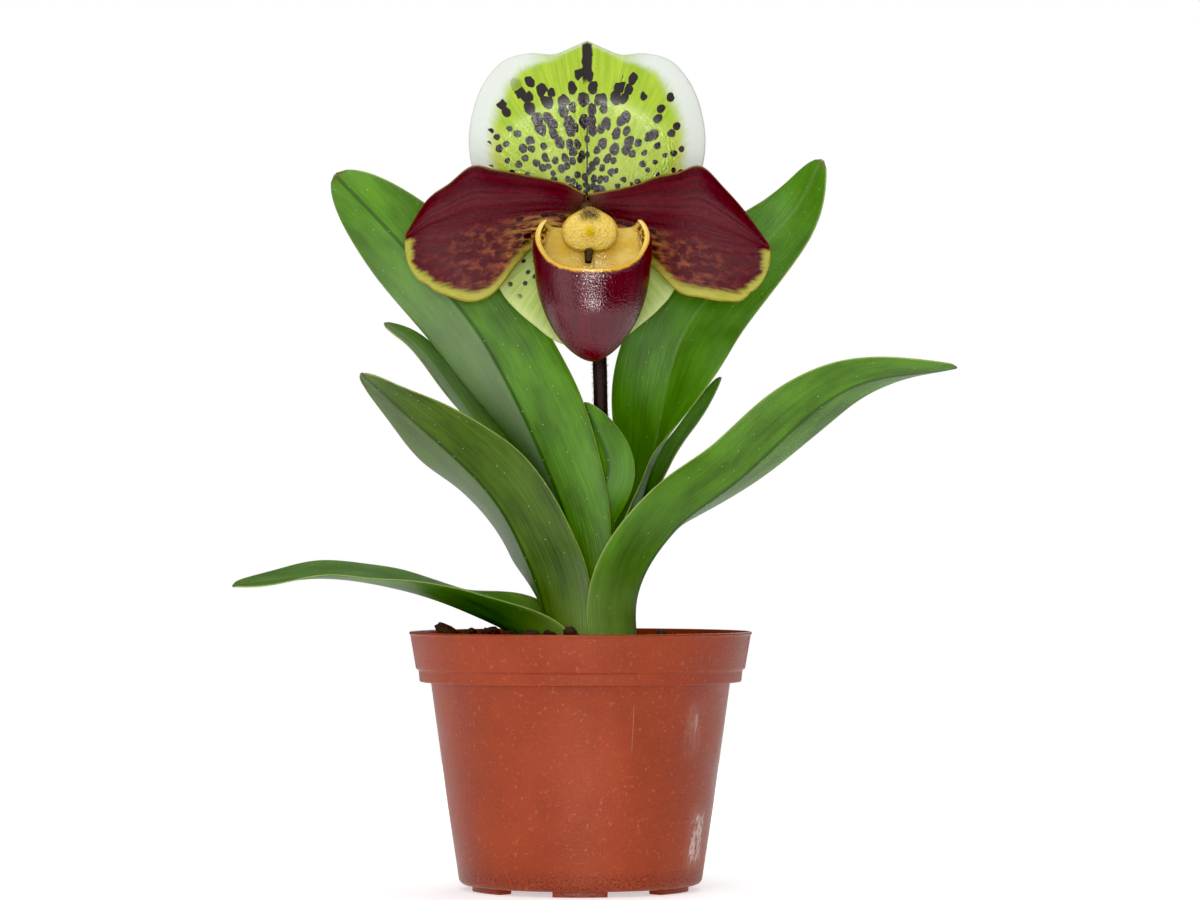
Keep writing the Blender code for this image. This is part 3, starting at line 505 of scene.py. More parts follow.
def dorsal_material():
    """Green heart with radial rows of dark spots, fading into a broad white margin."""
    g = Graph("dorsal_sepal", IOR=1.45, Specular_IOR_Level=0.8)
    turn, _, side = g.parts(g.attribute("place"))
    flat = g.attribute("flat")
    x, z, edge_mm = g.parts(flat)
    degrees, radius = turn * 90.0, g.distance(x, z)
    steep = abs(degrees)
    polar = g.joined(degrees, radius)
    rays = g.noise(polar, (0.55, 0.045, 0), 4, 0.6)
    fine_rays = g.noise(polar, (1.9, 0.08, 0), 2)
    grain = g.noise(flat, 1.3, 3, 0.6)
    fringe = edge_mm / steep.fade(8.0, 40.0, 0.2, 1.0) + (rays - 0.5) * 6.0
    white = fringe.fade(12.5, 6.0) * steep.fade(6.0, 24.0) | edge_mm.fade(1.6, 0.4, 0.0, 0.5)
    yellowing = fringe.fade(16.0, 10.5) * (1 - white) * steep.fade(40.0, 60.0)

    # Each spot is a cell of a warped grid of rows; its size and presence are set at its middle.
    wobble = (g.noise(flat, 0.28, 2) - 0.5) * 1.6
    rows, steps = degrees / SPOT_ROW_DEGREES, (radius + wobble) / SPOT_STEP
    _, random_colour, middle = g.dots(g.joined(rows, steps), 0.82)
    draw, second, _ = g.parts(random_colour)
    middle_row, middle_step, _ = g.parts(middle)
    middle_degrees, middle_radius = abs(middle_row * SPOT_ROW_DEGREES), middle_step * SPOT_STEP
    middle_edge = edge_mm + radius - middle_radius
    half_width = middle_radius.fade(6.0, 42.0, 1.15, 1.8) * middle_degrees.fade(20.0, 68.0, 1.0, 0.58)
    half_width = half_width * (draw * 0.5 + 0.72)
    stretch = middle_degrees.fade(10.0, 60.0, 1.55, 1.0) * middle_radius.fade(12.0, 30.0, 0.8, 1.0)
    aside = (rows - middle_row) * math.radians(SPOT_ROW_DEGREES) * radius
    aside = aside + (g.noise(flat, 0.4, 1) - 0.5) * 0.9
    ahead = (steps - middle_step) * SPOT_STEP
    reach = g.distance(aside / half_width, ahead / (half_width * stretch))
    present = middle_degrees.fade(86.0, 85.0) * middle_edge.fade(8.4, 8.6) * second.fade(0.08, 0.09)
    spots = reach.fade(1.12, 0.92) * present
    crest = (abs(x) + wobble).fade(2.1, 1.5) * edge_mm.fade(15.0, 12.5) * edge_mm.fade(0.0, 1.0)
    midrib = abs(x).fade(0.55, 0.2) * radius.fade(36.0, 28.0)
    dark = spots | crest | midrib

    colour = g.paint(
        g.mix(rays.fade(0.32, 0.68), (0.27, 0.41, 0.012), (0.40, 0.52, 0.028)),
        (fine_rays.fade(0.4, 0.7, 0.0, 0.2), (0.17, 0.32, 0.012)),
        (grain.fade(0.5, 0.75, 0.0, 0.25), (0.48, 0.62, 0.06)),
        (radius.fade(38.0, 14.0) * 0.35, (0.40, 0.42, 0.07)),
        (white, (0.62, 0.65, 0.60)),
        (yellowing * 0.5, (0.55, 0.50, 0.10)),
        (dark * (1 - side), (0.010, 0.0015, 0.002)),
        (dark * side * 0.35, (0.06, 0.05, 0.02)))
    lively = radius.fade(46.0, 30.0) * steep.fade(75.0, 50.0)
    sparkle = g.noise(flat, 0.8, 2) * lively.fade(0.0, 1.0, 0.1, 1.0)
    raised = g.bump(dark * 0.5 + fine_rays * 0.4 + grain * 0.25, 0.12)
    g.set(Base_Color=colour, Roughness=lively.fade(0.0, 0.6, 0.75, 0.12),
          Normal=g.bump(sparkle, 0.50, Normal=raised))
    return g.material


def ventral_material():
    """Pale lime with fine veins, and a few dark spots on its left."""
    g = Graph("ventral_sepal", 0.38, IOR=1.45)
    turn, _, side = g.parts(g.attribute("place"))
    flat = g.attribute("flat")
    x, z, edge_mm = g.parts(flat)
    degrees, radius = turn * 76.0, g.distance(x, z)
    polar = g.joined(degrees, radius)
    rays = g.noise(polar, (0.45, 0.05, 0), 4, 0.6)
    grain = g.noise(flat, 2.2, 3, 0.6)
    gap, random_colour, _ = g.dots(g.scaled(polar, (0.16, 0.26, 0)), 0.9)
    where = degrees.fade(-30.0, -36.0) * radius.fade(24.0, 26.0) * radius.fade(40.0, 36.0)
    spots = gap.fade(0.26, 0.2) * where * g.parts(random_colour)[0].fade(0.35, 0.4)
    colour = g.paint(
        g.mix(rays.fade(0.3, 0.7), (0.33, 0.45, 0.08), (0.47, 0.57, 0.16)),
        (edge_mm.fade(5.0, 0.5, 0.0, 0.5), (0.57, 0.62, 0.28)),
        (grain.fade(0.5, 0.8, 0.0, 0.2), (0.60, 0.68, 0.30)),
        (spots * (1 - side), (0.022, 0.004, 0.006)))
    return g.finish(colour, rays + grain * 0.5, 0.2)


def petal_material(name):
    """Deep maroon above the midrib, bronze and veined below it, with a yellow-green lower margin."""
    g = Graph(name, IOR=1.45, Specular_IOR_Level=0.24)
    place, flat = g.attribute("place"), g.attribute("flat")
    _, along, side = g.parts(place)
    across_mm, along_mm, edge_mm = g.parts(flat)
    lower = (across_mm + (g.noise(flat, 0.3, 2) - 0.5) * 1.6).fade(0.4, -1.6)
    streaks = g.noise(flat, (0.75, 0.12, 0), 4, 0.65)
    veins = g.noise(place, (15.0, 1.2, 0), 3, 0.55)
    checks = g.noise(flat, (0.7, 0.7, 0), 2)
    mottle = g.noise(flat, (0.38, 0.24, 0), 3, 0.6)
    grain = g.noise(flat, 2.6, 2, 0.6)
    deep = g.paint(
        g.mix(veins.fade(0.3, 0.7), (0.040, 0.0008, 0.004), (0.105, 0.002, 0.009)),
        (checks.fade(0.35, 0.7, 0.0, 0.35), (0.15, 0.004, 0.014)))
    brown = g.mix(along.fade(0.9, 0.45), (0.115, 0.008, 0.010), (0.27, 0.070, 0.026))
    bronze = g.paint(
        g.mix(mottle.fade(0.42, 0.72), (0.070, 0.003, 0.007), brown),
        (veins.fade(0.45, 0.7, 0.0, 0.3), (0.075, 0.004, 0.009)),
        (along.fade(0.50, 0.20) * streaks.fade(0.4, 0.62), (0.62, 0.36, 0.10)))
    gap, random_colour, _ = g.dots(g.scaled(flat, (0.34, 0.22, 0)), 0.9)
    where = lower * along_mm.fade(30.0, 22.0) * along_mm.fade(4.0, 7.0)
    spots = (gap + (grain - 0.5) * 0.3).fade(0.36, 0.28) * where
    margin = (edge_mm + (streaks - 0.5) * 5.0).fade(5.0, 2.0) * along.fade(0.12, 0.55) * lower
    rim = (edge_mm + (streaks - 0.5) * 0.8).fade(0.95, 0.45)
    colour = g.paint(
        g.mix(lower * across_mm.fade(0.0, -7.0, 0.35, 1.0), deep, bronze),
        (along.fade(0.13, 0.03) * 0.7, g.mix(lower, (0.10, 0.030, 0.012), (0.42, 0.38, 0.05))),
        (spots * g.parts(random_colour)[0].fade(0.25, 0.32), (0.020, 0.002, 0.004)),
        (margin * 0.92, g.mix(streaks, (0.26, 0.29, 0.03), (0.55, 0.50, 0.10))),
        (rim * 0.75, (0.33, 0.20, 0.035)),
        (side * 0.75, g.mix(veins.fade(0.3, 0.7), (0.16, 0.09, 0.03), (0.30, 0.24, 0.07))))
    height = veins * 0.5 + checks * 0.35 + grain * 0.3
    return g.finish(colour, height, 0.22, Roughness=grain.fade(0.3, 0.7, 0.36, 0.48))


def lip_material():
    """Glossy maroon pouch with a yellow rim, and yellow inside with dark red dots on the side lobes."""
    g = Graph("lip_pouch", IOR=1.5, Specular_IOR_Level=0.62, Coat_Weight=0.12, Coat_Roughness=0.08)
    turn, _, inside = g.parts(g.attribute("place"))
    flat = g.attribute("flat")
    _, height_mm, rim_mm = g.parts(flat)
    sideways = abs(turn)
    streaks = g.noise(g.joined(turn, height_mm), (26.0, 0.03, 0), 4, 0.6)
    blotches = g.noise(flat, 0.13, 3, 0.55)
    grain = g.noise(flat, 2.2, 3, 0.65)
    pores = g.noise(flat, (1.7, 1.1, 1.0), 1, 0.4)
    ragged = rim_mm + (g.noise(flat, 0.7) - 0.5) * 1.6
    band = ragged.fade(sideways.fade(0.2, 0.45, 1.7, 2.2), 0.8)
    orange = g.mix(ragged.fade(1.6, 0.4), (0.34, 0.09, 0.018), (0.68, 0.40, 0.035))
    gap, _, _ = g.dots(g.scaled(flat, (0.75, 0.75, 0)))
    lobes = sideways.fade(0.26, 0.34) * sideways.fade(0.72, 0.62)
    lobes = lobes * rim_mm.fade(15.0, 9.0) * rim_mm.fade(0.9, 1.6)
    yellow = g.paint(
        g.mix(blotches.fade(0.35, 0.65), (0.80, 0.54, 0.09), (0.90, 0.70, 0.20)),
        (gap.fade(0.60, 0.46) * lobes, (0.16, 0.008, 0.007)),
        (rim_mm.fade(14.0, 30.0) * 0.7, (0.16, 0.07, 0.015)))
    colour = g.paint(
        g.mix(streaks.fade(0.3, 0.7), (0.058, 0.0008, 0.005), (0.105, 0.0015, 0.010)),
        (blotches.fade(0.45, 0.75, 0.0, 0.35), (0.14, 0.003, 0.014)),
        (height_mm.fade(14.0, 3.0, 0.0, 0.4), (0.12, 0.004, 0.010)),
        (band, orange),
        (inside, yellow))
    return g.finish(colour, pores + grain * 0.15, 0.19, Roughness=grain.fade(0.3, 0.7, 0.10, 0.15))


def column_material():
    """Yellow, glossy and warty, browner towards the top."""
    g = Graph("column", 0.28, IOR=1.48)
    flat = g.attribute("flat")
    x, z, edge_mm = g.parts(flat)
    warts, fine = g.noise(flat, 1.5, 2), g.noise(flat, 5.0, 2)
    top = z.fade(2.2, 6.0) * abs(x).fade(4.6, 2.0)
    colour = g.paint(
        g.mix(warts.fade(0.35, 0.65), (0.80, 0.53, 0.075), (0.92, 0.72, 0.20)),
        (g.distance(x, z).fade(2.6, 1.0), (0.80, 0.56, 0.01)),
        (edge_mm.fade(1.3, 0.2, 0.0, 0.6), (0.72, 0.42, 0.03)),
        (top * fine.fade(0.35, 0.6), (0.08, 0.030, 0.012)))
    return g.finish(colour, warts + fine * 0.2, 0.7)


def stem_material(name, dark, light):
    """Dark stem with lengthwise streaks."""
    g = Graph(name, 0.55)
    flat = g.attribute("flat")
    streaks = g.noise(flat, (1.6, 0.07, 1.0), 4, 0.6)
    grain = g.noise(flat, 1.8, 3, 0.6)
    colour = g.paint(
        g.mix(streaks.fade(0.35, 0.7), dark, light),
        (grain.fade(0.55, 0.8, 0.0, 0.4), tuple(1.8 * c for c in light)))
    return g.finish(colour, streaks + grain * 0.4, 0.25)


def hair_material():
    """Dark at the root and pale at the tip."""
    g = Graph("hair")
    _, along, _ = g.parts(g.attribute("flat"))
    g.set(Base_Color=g.mix(along, (0.035, 0.012, 0.014), (0.20, 0.12, 0.09)))
    return g.material


def bract_material():
    """Green with lengthwise veins, brown at its foot."""
    g = Graph("bract", 0.45)
    _, along, _ = g.parts(g.attribute("place"))
    veins = g.noise(g.attribute("flat"), (1.6, 0.05, 0), 4, 0.6)
    colour = g.paint(
        g.mix(veins.fade(0.3, 0.7), (0.10, 0.19, 0.03), (0.24, 0.34, 0.08)),
        (along.fade(0.25, 0.0, 0.0, 0.7), (0.09, 0.05, 0.03)))
    return g.finish(colour, veins, 0.25)


def pot_material():
    """Terracotta-coloured plastic: fine grain, faint flow marks, lime stains and a scuffed foot."""
    g = Graph("terracotta_plastic", IOR=1.46, Specular_IOR_Level=0.38)
    place, flat = g.attribute("place"), g.attribute("flat")
    arc, height, _ = g.parts(flat)
    grain = g.noise(place, 1500.0, 2, 0.6)
    flecks = g.noise(place, 620.0, 3, 0.65)
    clouds = g.noise(place, 34.0, 4, 0.6)
    drips = g.noise(flat, (0.05, 0.008, 0), 3, 0.55)
    streaky = g.noise(flat, (0.40, 0.11, 0), 5, 0.75)
    scrapes = g.noise(flat, (0.9, 1.2, 0), 4, 0.75)

    def patch(middle_arc, middle_height, arc_fade, height_fade):
        """A soft patch round one place on the wall."""
        return abs(arc - middle_arc).fade(*arc_fade) * abs(height - middle_height).fade(*height_fade)

    stain = patch(-23.0, 19.0, (10.0, 3.0), (14.0, 6.0)) | patch(-34.0, 57.0, (7.0, 1.0), (13.0, 5.0)) * 0.62
    lime = (streaky + stain * 0.34).fade(0.72, 0.86) * stain * flecks.fade(0.30, 0.55)
    haze = stain * streaky.fade(0.35, 0.7, 0.05, 0.30)
    scratch = patch(-60.3, 58.0, (0.22, 0.08), (8.0, 7.0))
    crust = lime * 0.85 | haze | scratch * 0.14
    colour = g.paint(
        g.mix(clouds.fade(0.3, 0.7), (0.25, 0.037, 0.010), (0.31, 0.050, 0.015)),
        (drips.fade(0.4, 0.75, 0.0, 0.25), (0.23, 0.031, 0.012)),
        (flecks.fade(0.58, 0.72, 0.0, 0.35), (0.52, 0.17, 0.09)),
        (grain.fade(0.40, 0.25, 0.0, 0.45), (0.13, 0.020, 0.010)),
        (crust, (0.62, 0.50, 0.46)),
        (height.fade(10.0, 5.5) * scrapes.fade(0.49, 0.57) * 0.75, (0.09, 0.018, 0.010)),
        (height.fade(87.0, 90.0) * flecks.fade(0.5, 0.7) * 0.5, (0.10, 0.035, 0.020)))
    roughness = clouds.fade(0.3, 0.7, 0.32, 0.42) + crust * 0.3
    return g.finish(colour, grain + flecks * 0.6, 0.17, Roughness=roughness)


def bark_material():
    """Damp bark: dark brown with fibres, a different tone for each chip, and pale dust."""
    g = Graph("bark_mix")
    tone, _, _ = g.parts(g.attribute("place"))
    flat = g.attribute("flat")
    fibres = g.noise(flat, (0.35, 1.6, 0.7), 4, 0.65)
    crumbs = g.noise(flat, 1.1, 4, 0.7)
    colour = g.paint(
        g.mix(fibres.fade(0.3, 0.7), (0.010, 0.005, 0.0035), (0.050, 0.024, 0.013)),
        (tone * 0.7, (0.085, 0.036, 0.016)),
        (crumbs.fade(0.6, 0.8, 0.0, 0.35), (0.14, 0.085, 0.05)))
    return g.finish(colour, fibres + crumbs, 0.8, Roughness=fibres.fade(0.3, 0.7, 0.6, 0.95))


def crown_material():
    """Pale fibrous tissue."""
    g = Graph("crown_tissue", 0.6)
    fibres = g.noise(g.object_place(), (300.0, 300.0, 60.0), 4, 0.6)
    colour = g.mix(fibres.fade(0.3, 0.7), (0.11, 0.10, 0.03), (0.26, 0.27, 0.08))
    return g.finish(colour, fibres, 0.4)


# Leaves

def leaf_grid(leaf, rows, half):
    """Middle surface of one leaf: a folded sheath that opens into a keeled blade."""
    middle_x, middle_y = CROWN
    foot = (middle_x - leaf["rank"] * leaf["nest"], middle_y, LEAF_FOOT)
    line = smooth_line([foot] + leaf["spine"], rows)
    tangent = np.gradient(line, axis=0)
    tangent /= np.linalg.norm(tangent, axis=1)[:, None]
    t = np.linspace(0, 1, rows)
    leaning = ease(t / UPRIGHT_SHARE)[:, None]
    tangent = tangent * leaning + np.array([0.0, 0.0, 1.0]) * (1 - leaning)
    tangent /= np.linalg.norm(tangent, axis=1)[:, None]
    roll = np.radians(between(t, (0, 1 / 3, 2 / 3, 1), (0, *leaf["roll"])))
    keel = np.radians(between(t, (0, SHEATH_SHARE, 1), (90, *leaf["keel"])))
    edge = np.radians(between(t, (0, SHEATH_SHARE, 1), (0, *leaf["edge"])))
    sheath_width = SHEATH_WRAP * math.pi / 2 * leaf["nest"]
    width = sheath_width + (leaf["width"] - sheath_width) * ease(t / 0.5)
    width = width * np.maximum(1 - t ** leaf["tip"], 0) ** 0.55 + 0.4
    grid = np.zeros((rows, 2 * half + 1, 3))
    facing = np.array([leaf["rank"], 0.0, 0.0])
    for i in range(rows):
        facing = facing - tangent[i] * (facing @ tangent[i])
        facing /= np.linalg.norm(facing)
        aside = np.cross(tangent[i], facing)
        upper = facing * math.cos(roll[i]) + aside * math.sin(roll[i])
        right = aside * math.cos(roll[i]) - facing * math.sin(roll[i])
        angle = np.linspace(keel[i], edge[i], half + 1)
        angle = (angle[1:] + angle[:-1]) / 2
        out = np.r_[0, np.cumsum(np.sin(angle))] * width[i] / half
        rise = np.r_[0, np.cumsum(np.cos(angle))] * width[i] / half
        wave = 0.5 * math.sin(21 * t[i] + 2 * leaf["nest"]) * ease((t[i] - 0.4) / 0.3)
        rise = rise + wave * np.linspace(0, 1, half + 1) ** 3
        grid[i, half:] = line[i] + right * out[:, None] + upper * rise[:, None]
        grid[i, half::-1] = line[i] - right * out[:, None] + upper * rise[:, None]
    return grid, width


def build_leaf(name, leaf):
    grid, width = leaf_grid(leaf, LEAF_ROWS, LEAF_HALF)
    across = np.linspace(-1, 1, 2 * LEAF_HALF + 1)
    along = np.linspace(0, 1, LEAF_ROWS)[:, None]
    thickness = KEEL_THICKNESS + (EDGE_THICKNESS - KEEL_THICKNESS) * np.abs(across)
    thickness = np.maximum(thickness * (1 - 0.3 * along ** 2), 0.6)
    thickness = thickness * np.sqrt(np.maximum(1 - np.abs(across) ** 26, 0.02))
    half_width = width[:, None]
    reach = lengths_along(grid[:, LEAF_HALF:LEAF_HALF + 1], 0)
    edge = np.minimum((1 - np.abs(across)) * half_width, (reach[-1] - reach) * 0.7)
    flat = stacked(across * half_width, reach, edge)
    row = grid[LEAF_ROWS // 3]
    facing = (row[0] + row[-1]) / 2 - row[LEAF_HALF]
    upper_first = normals_of(grid)[LEAF_ROWS // 3, LEAF_HALF] @ facing > 0
    colours = [leaf[key] for key in (("upper", "under") if upper_first else ("under", "upper"))]
    # The painted sheen goes on the half of the blade that lies to the left.
    middle_row = grid[LEAF_ROWS // 2]
    to_left = 1.0 if middle_row[-1, 0] < middle_row[0, 0] else -1.0
    finish = leaf_material(name, *colours, painted_sheen=to_left * leaf.get("painted_sheen", 0.0))
    place = stacked(across, along, 0.0)
    piece = sheet_piece(name + "_blade", grid, thickness, place, flat, finish, foot=LEAF_FOOT)
    show(piece, "leaf_green", name)


# Pot

def body_radius(height, inset=0.0):
    share = (height - FOOT_HEIGHT) / (COLLAR_FOOT_Z - FOOT_HEIGHT)
    return BODY_FOOT_RADIUS + (BODY_TOP_RADIUS - BODY_FOOT_RADIUS) * share - inset


def rounded_profile(points, radius, steps=3):
    """The profile with its inner corners turned into small arcs."""
    points = [np.array(p, float) for p in points]
    found = [points[0]]
    for before, corner, after in zip(points, points[1:], points[2:]):
        to_before, to_after = before - corner, after - corner
        long_before, long_after = np.linalg.norm(to_before), np.linalg.norm(to_after)
        cut = min(radius, 0.45 * long_before, 0.45 * long_after)
        start = corner + to_before / long_before * cut
        end = corner + to_after / long_after * cut
        for k in range(steps + 1):
            t = k / steps
            found.append((1 - t) ** 2 * start + 2 * t * (1 - t) * corner + t ** 2 * end)
    return found + [points[-1]]


def pot_profile():
    """Outer wall from the base up, over the rim, and down the inner wall."""
    heel_radius = body_radius(FOOT_HEIGHT) - HEEL_RADIUS
    heel = [(heel_radius + HEEL_RADIUS * math.sin(a), FOOT_HEIGHT + HEEL_RADIUS * (1 - math.cos(a)))
            for a in np.linspace(0, math.pi / 2, 6)]
    step = COLLAR_FOOT_Z + WALL
    floor = FOOT_HEIGHT + FLOOR_THICKNESS
    outer = [(0, FOOT_HEIGHT), *heel, (body_radius(30), 30), (BODY_TOP_RADIUS, COLLAR_FOOT_Z),
             (COLLAR_FOOT_RADIUS, COLLAR_FOOT_Z), (COLLAR_FOOT_RADIUS + 0.4, COLLAR_STEP_Z),
             (COLLAR_STEP_RADIUS + 0.4, COLLAR_STEP_Z + 0.4), (RIM_RADIUS - 0.5, POT_HEIGHT - 1.2),
             (RIM_RADIUS, POT_HEIGHT - 0.6)]
    inner = [(RIM_RADIUS - 0.4, POT_HEIGHT), (RIM_RADIUS - WALL, POT_HEIGHT),
             (COLLAR_FOOT_RADIUS + 0.4 - WALL, step), (body_radius(step, WALL), step - 0.6),
             (body_radius(floor + 2, WALL), floor + 2), (body_radius(floor, WALL) - 2, floor), (0, floor)]
    return rounded_profile(outer + inner, 0.45)


def pot_places(points):
    """Material coordinates of the pot: the place itself, and millimetres round, up and out."""
    x, y, z = np.asarray(points, float).T
    return {"place": np.asarray(points) * MM, "flat": np.stack([np.arctan2(y, x) * 50, z, np.hypot(x, y)], 1)}


def round_points(radius, height, turns):
    return [(radius * math.cos(a), radius * math.sin(a), height) for a in turns]


def build_pot():
    points, rings = [], []
    for radius, height in pot_profile():
        rings.append(1 if radius < 1e-6 else POT_SIDES)
        points += round_points(radius, height, 2 * math.pi * (np.arange(rings[-1]) + 0.5) / POT_SIDES)
    finish = pot_material()
    pot = add_mesh("pot_shell", points, turned_faces(rings, POT_SIDES), finish, **pot_places(points))
    drill_drains(pot)
    pot.data.set_sharp_from_angle(angle=math.radians(50))
    show(pot, "terracotta_plastic", "pot")
    for number in range(FOOT_COUNT + 1):
        build_pot_foot(number, finish)


def drill_drains(pot):
    """Cuts the drain holes with one Boolean, whose cutters are removed again."""
    group = bpy.data.collections.new("drains")
    low, high = (h * MM for h in (FOOT_HEIGHT - 2, FOOT_HEIGHT + FLOOR_THICKNESS + 2))
    for k in range(DRAIN_COUNT):
        x, y, _ = round_points(DRAIN_RING * MM, 0, [math.radians(-60) + 2 * math.pi * k / DRAIN_COUNT])[0]
        mesh = bmesh.new()
        bmesh.ops.create_cone(mesh, cap_ends=True, segments=32, radius1=DRAIN_RADIUS * MM,
                              radius2=DRAIN_RADIUS * MM, depth=high - low,
                              matrix=Matrix.Translation((x, y, (low + high) / 2)))
        data = bpy.data.meshes.new(f"drain_{k}")
        mesh.to_mesh(data)
        mesh.free()
        group.objects.link(bpy.data.objects.new(f"drain_{k}", data))
    bpy.context.scene.collection.children.link(group)
    drill = pot.modifiers.new("drains", "BOOLEAN")
    drill.operation, drill.solver, drill.operand_type = "DIFFERENCE", "EXACT", "COLLECTION"
    drill.collection = group
    bpy.context.view_layer.update()
    drilled = bpy.data.meshes.new_from_object(pot.evaluated_get(bpy.context.evaluated_depsgraph_get()))
    pot.modifiers.clear()
    pot.data = drilled
    for made in list(group.objects):
        bpy.data.objects.remove(made)
    bpy.data.collections.remove(group)


def build_pot_foot(number, finish):
    """One arc-shaped foot with softened edges, or the disc in the middle."""
    if number == FOOT_COUNT:
        inner, outer, start, arc = 0.0, MIDDLE_FOOT_RADIUS, 0.0, 2 * math.pi
    else:
        inner, outer = FOOT_RING
        start = math.radians(-90) + 2 * math.pi * number / FOOT_COUNT - FOOT_ARC / 2
        arc = FOOT_ARC
    steps, soft, top = 24, 0.35, FOOT_HEIGHT + 0.4
    section = [(inner + soft, 0.0), (outer - soft, 0.0), (outer, soft),
               (outer, top), (inner, top), (inner, soft)]
    points = []
    for k in range(steps + 1):
        for radius, height in section:
            points += round_points(max(radius, 0.01), height, [start + arc * k / steps])
    faces = tube_faces(steps + 1, len(section), capped=number < FOOT_COUNT)
    foot = add_mesh(f"pot_foot_{number}", points, faces, finish, smooth=False, **pot_places(points))
    show(foot, "terracotta_plastic")


# Potting mix

def mix_height(radius, turn):
    """Uneven top of the mix, from a few waves."""
    wave = math.sin(2 * turn + 0.6) + 0.7 * math.sin(5 * turn + radius / 6) + 0.8 * math.cos(radius / 5.5)
    dip = 3.0 * math.exp(-((radius - HOLE_RADIUS) / 7) ** 2)
    return MIX_LEVEL + MIX_SWELL / 2.5 * wave - dip


def mound(x, y):
    """The scene's own heap of loose bark on the left, which shows over the rim."""
    return 4.0 * math.exp(-((x + 38) / 17) ** 2 - ((y + 19) / 15) ** 2)


def chip_places():
    """Where the large chips stand: the same rule as the CAD model's."""
    draw = random.Random(CHIP_SEED)
    golden = math.radians(137.5)
    for k in range(CHIP_COUNT):
        size = draw.uniform(*CHIP_SIZE)
        nearest, furthest = HOLE_RADIUS + 2.0 + size, MIX_RADIUS - size * 0.8 - 3.4
        radius = math.sqrt(nearest ** 2 + (furthest ** 2 - nearest ** 2) * (k + 0.5) / CHIP_COUNT)
        turn = golden * k + draw.uniform(-0.2, 0.2)
        x, y = radius * math.cos(turn) + 1.0, radius * math.sin(turn)
        under_leaf = x < -14 and abs(y + 4 + 0.22 * (-x - 14)) < 15
        lift = (-0.6 if under_leaf else draw.uniform(-0.25, 0.1)) * size
        yield k, size, Vector((x, y, mix_height(radius, turn) + lift)), draw.uniform(0, math.pi)


def small_chip_places():
    """Crumbs and small chips that lie between and over the large ones, and down in the hole."""
    draw = random.Random(CHIP_SEED + 1)
    for k in range(SMALL_CHIP_COUNT):
        size = draw.uniform(*SMALL_CHIP_SIZE)
        in_hole = k % 5 == 0
        low, high = HOLE_RADIUS + 1.0, MIX_RADIUS - size - 0.6
        if in_hole:
            low, high = HOLE_RADIUS - 3.0, HOLE_RADIUS + 2.0
        radius = math.sqrt(low ** 2 + (high ** 2 - low ** 2) * draw.random())
        turn = draw.uniform(0, 2 * math.pi)
        x, y = radius * math.cos(turn), radius * math.sin(turn)
        if in_hole:
            x, y = x + CROWN[0], y + CROWN[1]
        z = mix_height(max(radius, HOLE_RADIUS), turn) + mound(x, y) + draw.uniform(-0.3, 0.35) * size
        z -= draw.uniform(0.5, 7.0) if in_hole else 0.0
        yield 1000 + k, size, Vector((x, y, z)), draw.uniform(0, math.pi)


def loose_chips():
    """Chips that lie high enough to show over the rim, left of the leaves and in front."""
    seen = ((-46.5, -9, 6.4, 92.6), (-38.5, -16, 4.4, 91.4), (-31.0, -21, 6.0, 92.4), (-24.5, -28, 4.4, 91.4),
            (-17.0, -35, 4.6, 91.4), (-10.5, -36, 4.0, 91.0), (-3.0, -42, 5.2, 92.4), (28.0, -28, 5.0, 91.0),
            (38.0, 22, 4.4, 88.8), (-36.0, 24, 4.8, 89.2), (10.0, 42, 4.2, 88.6))
    for k, (x, y, size, top) in enumerate(seen):
        yield 500 + k, size, Vector((x, y, top - 0.47 * size)), 0.7 * k


def chip_mesh(number, size, middle, turn, fine):
    """(points, faces, local points) of an angular chip: the hull of points on a squashed ball."""
    draw = random.Random(CHIP_SEED * 100 + number)
    mesh = bmesh.new()
    for k in range(9):
        rise = 1 - 2 * (k + 0.5) / 9
        around = k * math.radians(137.5) + draw.uniform(-0.35, 0.35)
        ring = math.sqrt(1 - rise * rise)
        reach = size * draw.uniform(0.78, 1.0)
        point = Vector((ring * math.cos(around), 0.7 * ring * math.sin(around), 0.62 * rise))
        mesh.verts.new(point * reach)
    bmesh.ops.convex_hull(mesh, input=mesh.verts[:])
    bmesh.ops.delete(mesh, geom=[v for v in mesh.verts if not v.link_faces], context="VERTS")
    tilt = (Matrix.Rotation(draw.uniform(-0.5, 0.5), 4, "X")
            @ Matrix.Rotation(draw.uniform(-0.5, 0.5), 4, "Y"))
    if fine:
        bmesh.ops.bevel(mesh, geom=mesh.edges[:], offset=0.09 * size, segments=1, affect="EDGES")
        bmesh.ops.triangulate(mesh, faces=mesh.faces[:])
        bmesh.ops.subdivide_edges(mesh, edges=mesh.edges[:], cuts=3, use_grid_fill=True)
        mesh.normal_update()
        for vertex in mesh.verts:
            split = noise.noise(Vector((vertex.co.x * 0.3, vertex.co.y * 1.5, vertex.co.z * 0.9)) + middle)
            pits = noise.noise(vertex.co * 1.1 + middle)
            vertex.co += vertex.normal * (0.35 * split + 0.25 * pits)
    local = [v.co.copy() for v in mesh.verts]
    place = Matrix.Translation(middle) @ Matrix.Rotation(turn, 4, "Z") @ tilt
    points = [place @ v.co for v in mesh.verts]
    mesh.verts.index_update()
    faces = [tuple(v.index for v in f.verts) for f in mesh.faces]
    mesh.free()
    return points, faces, local


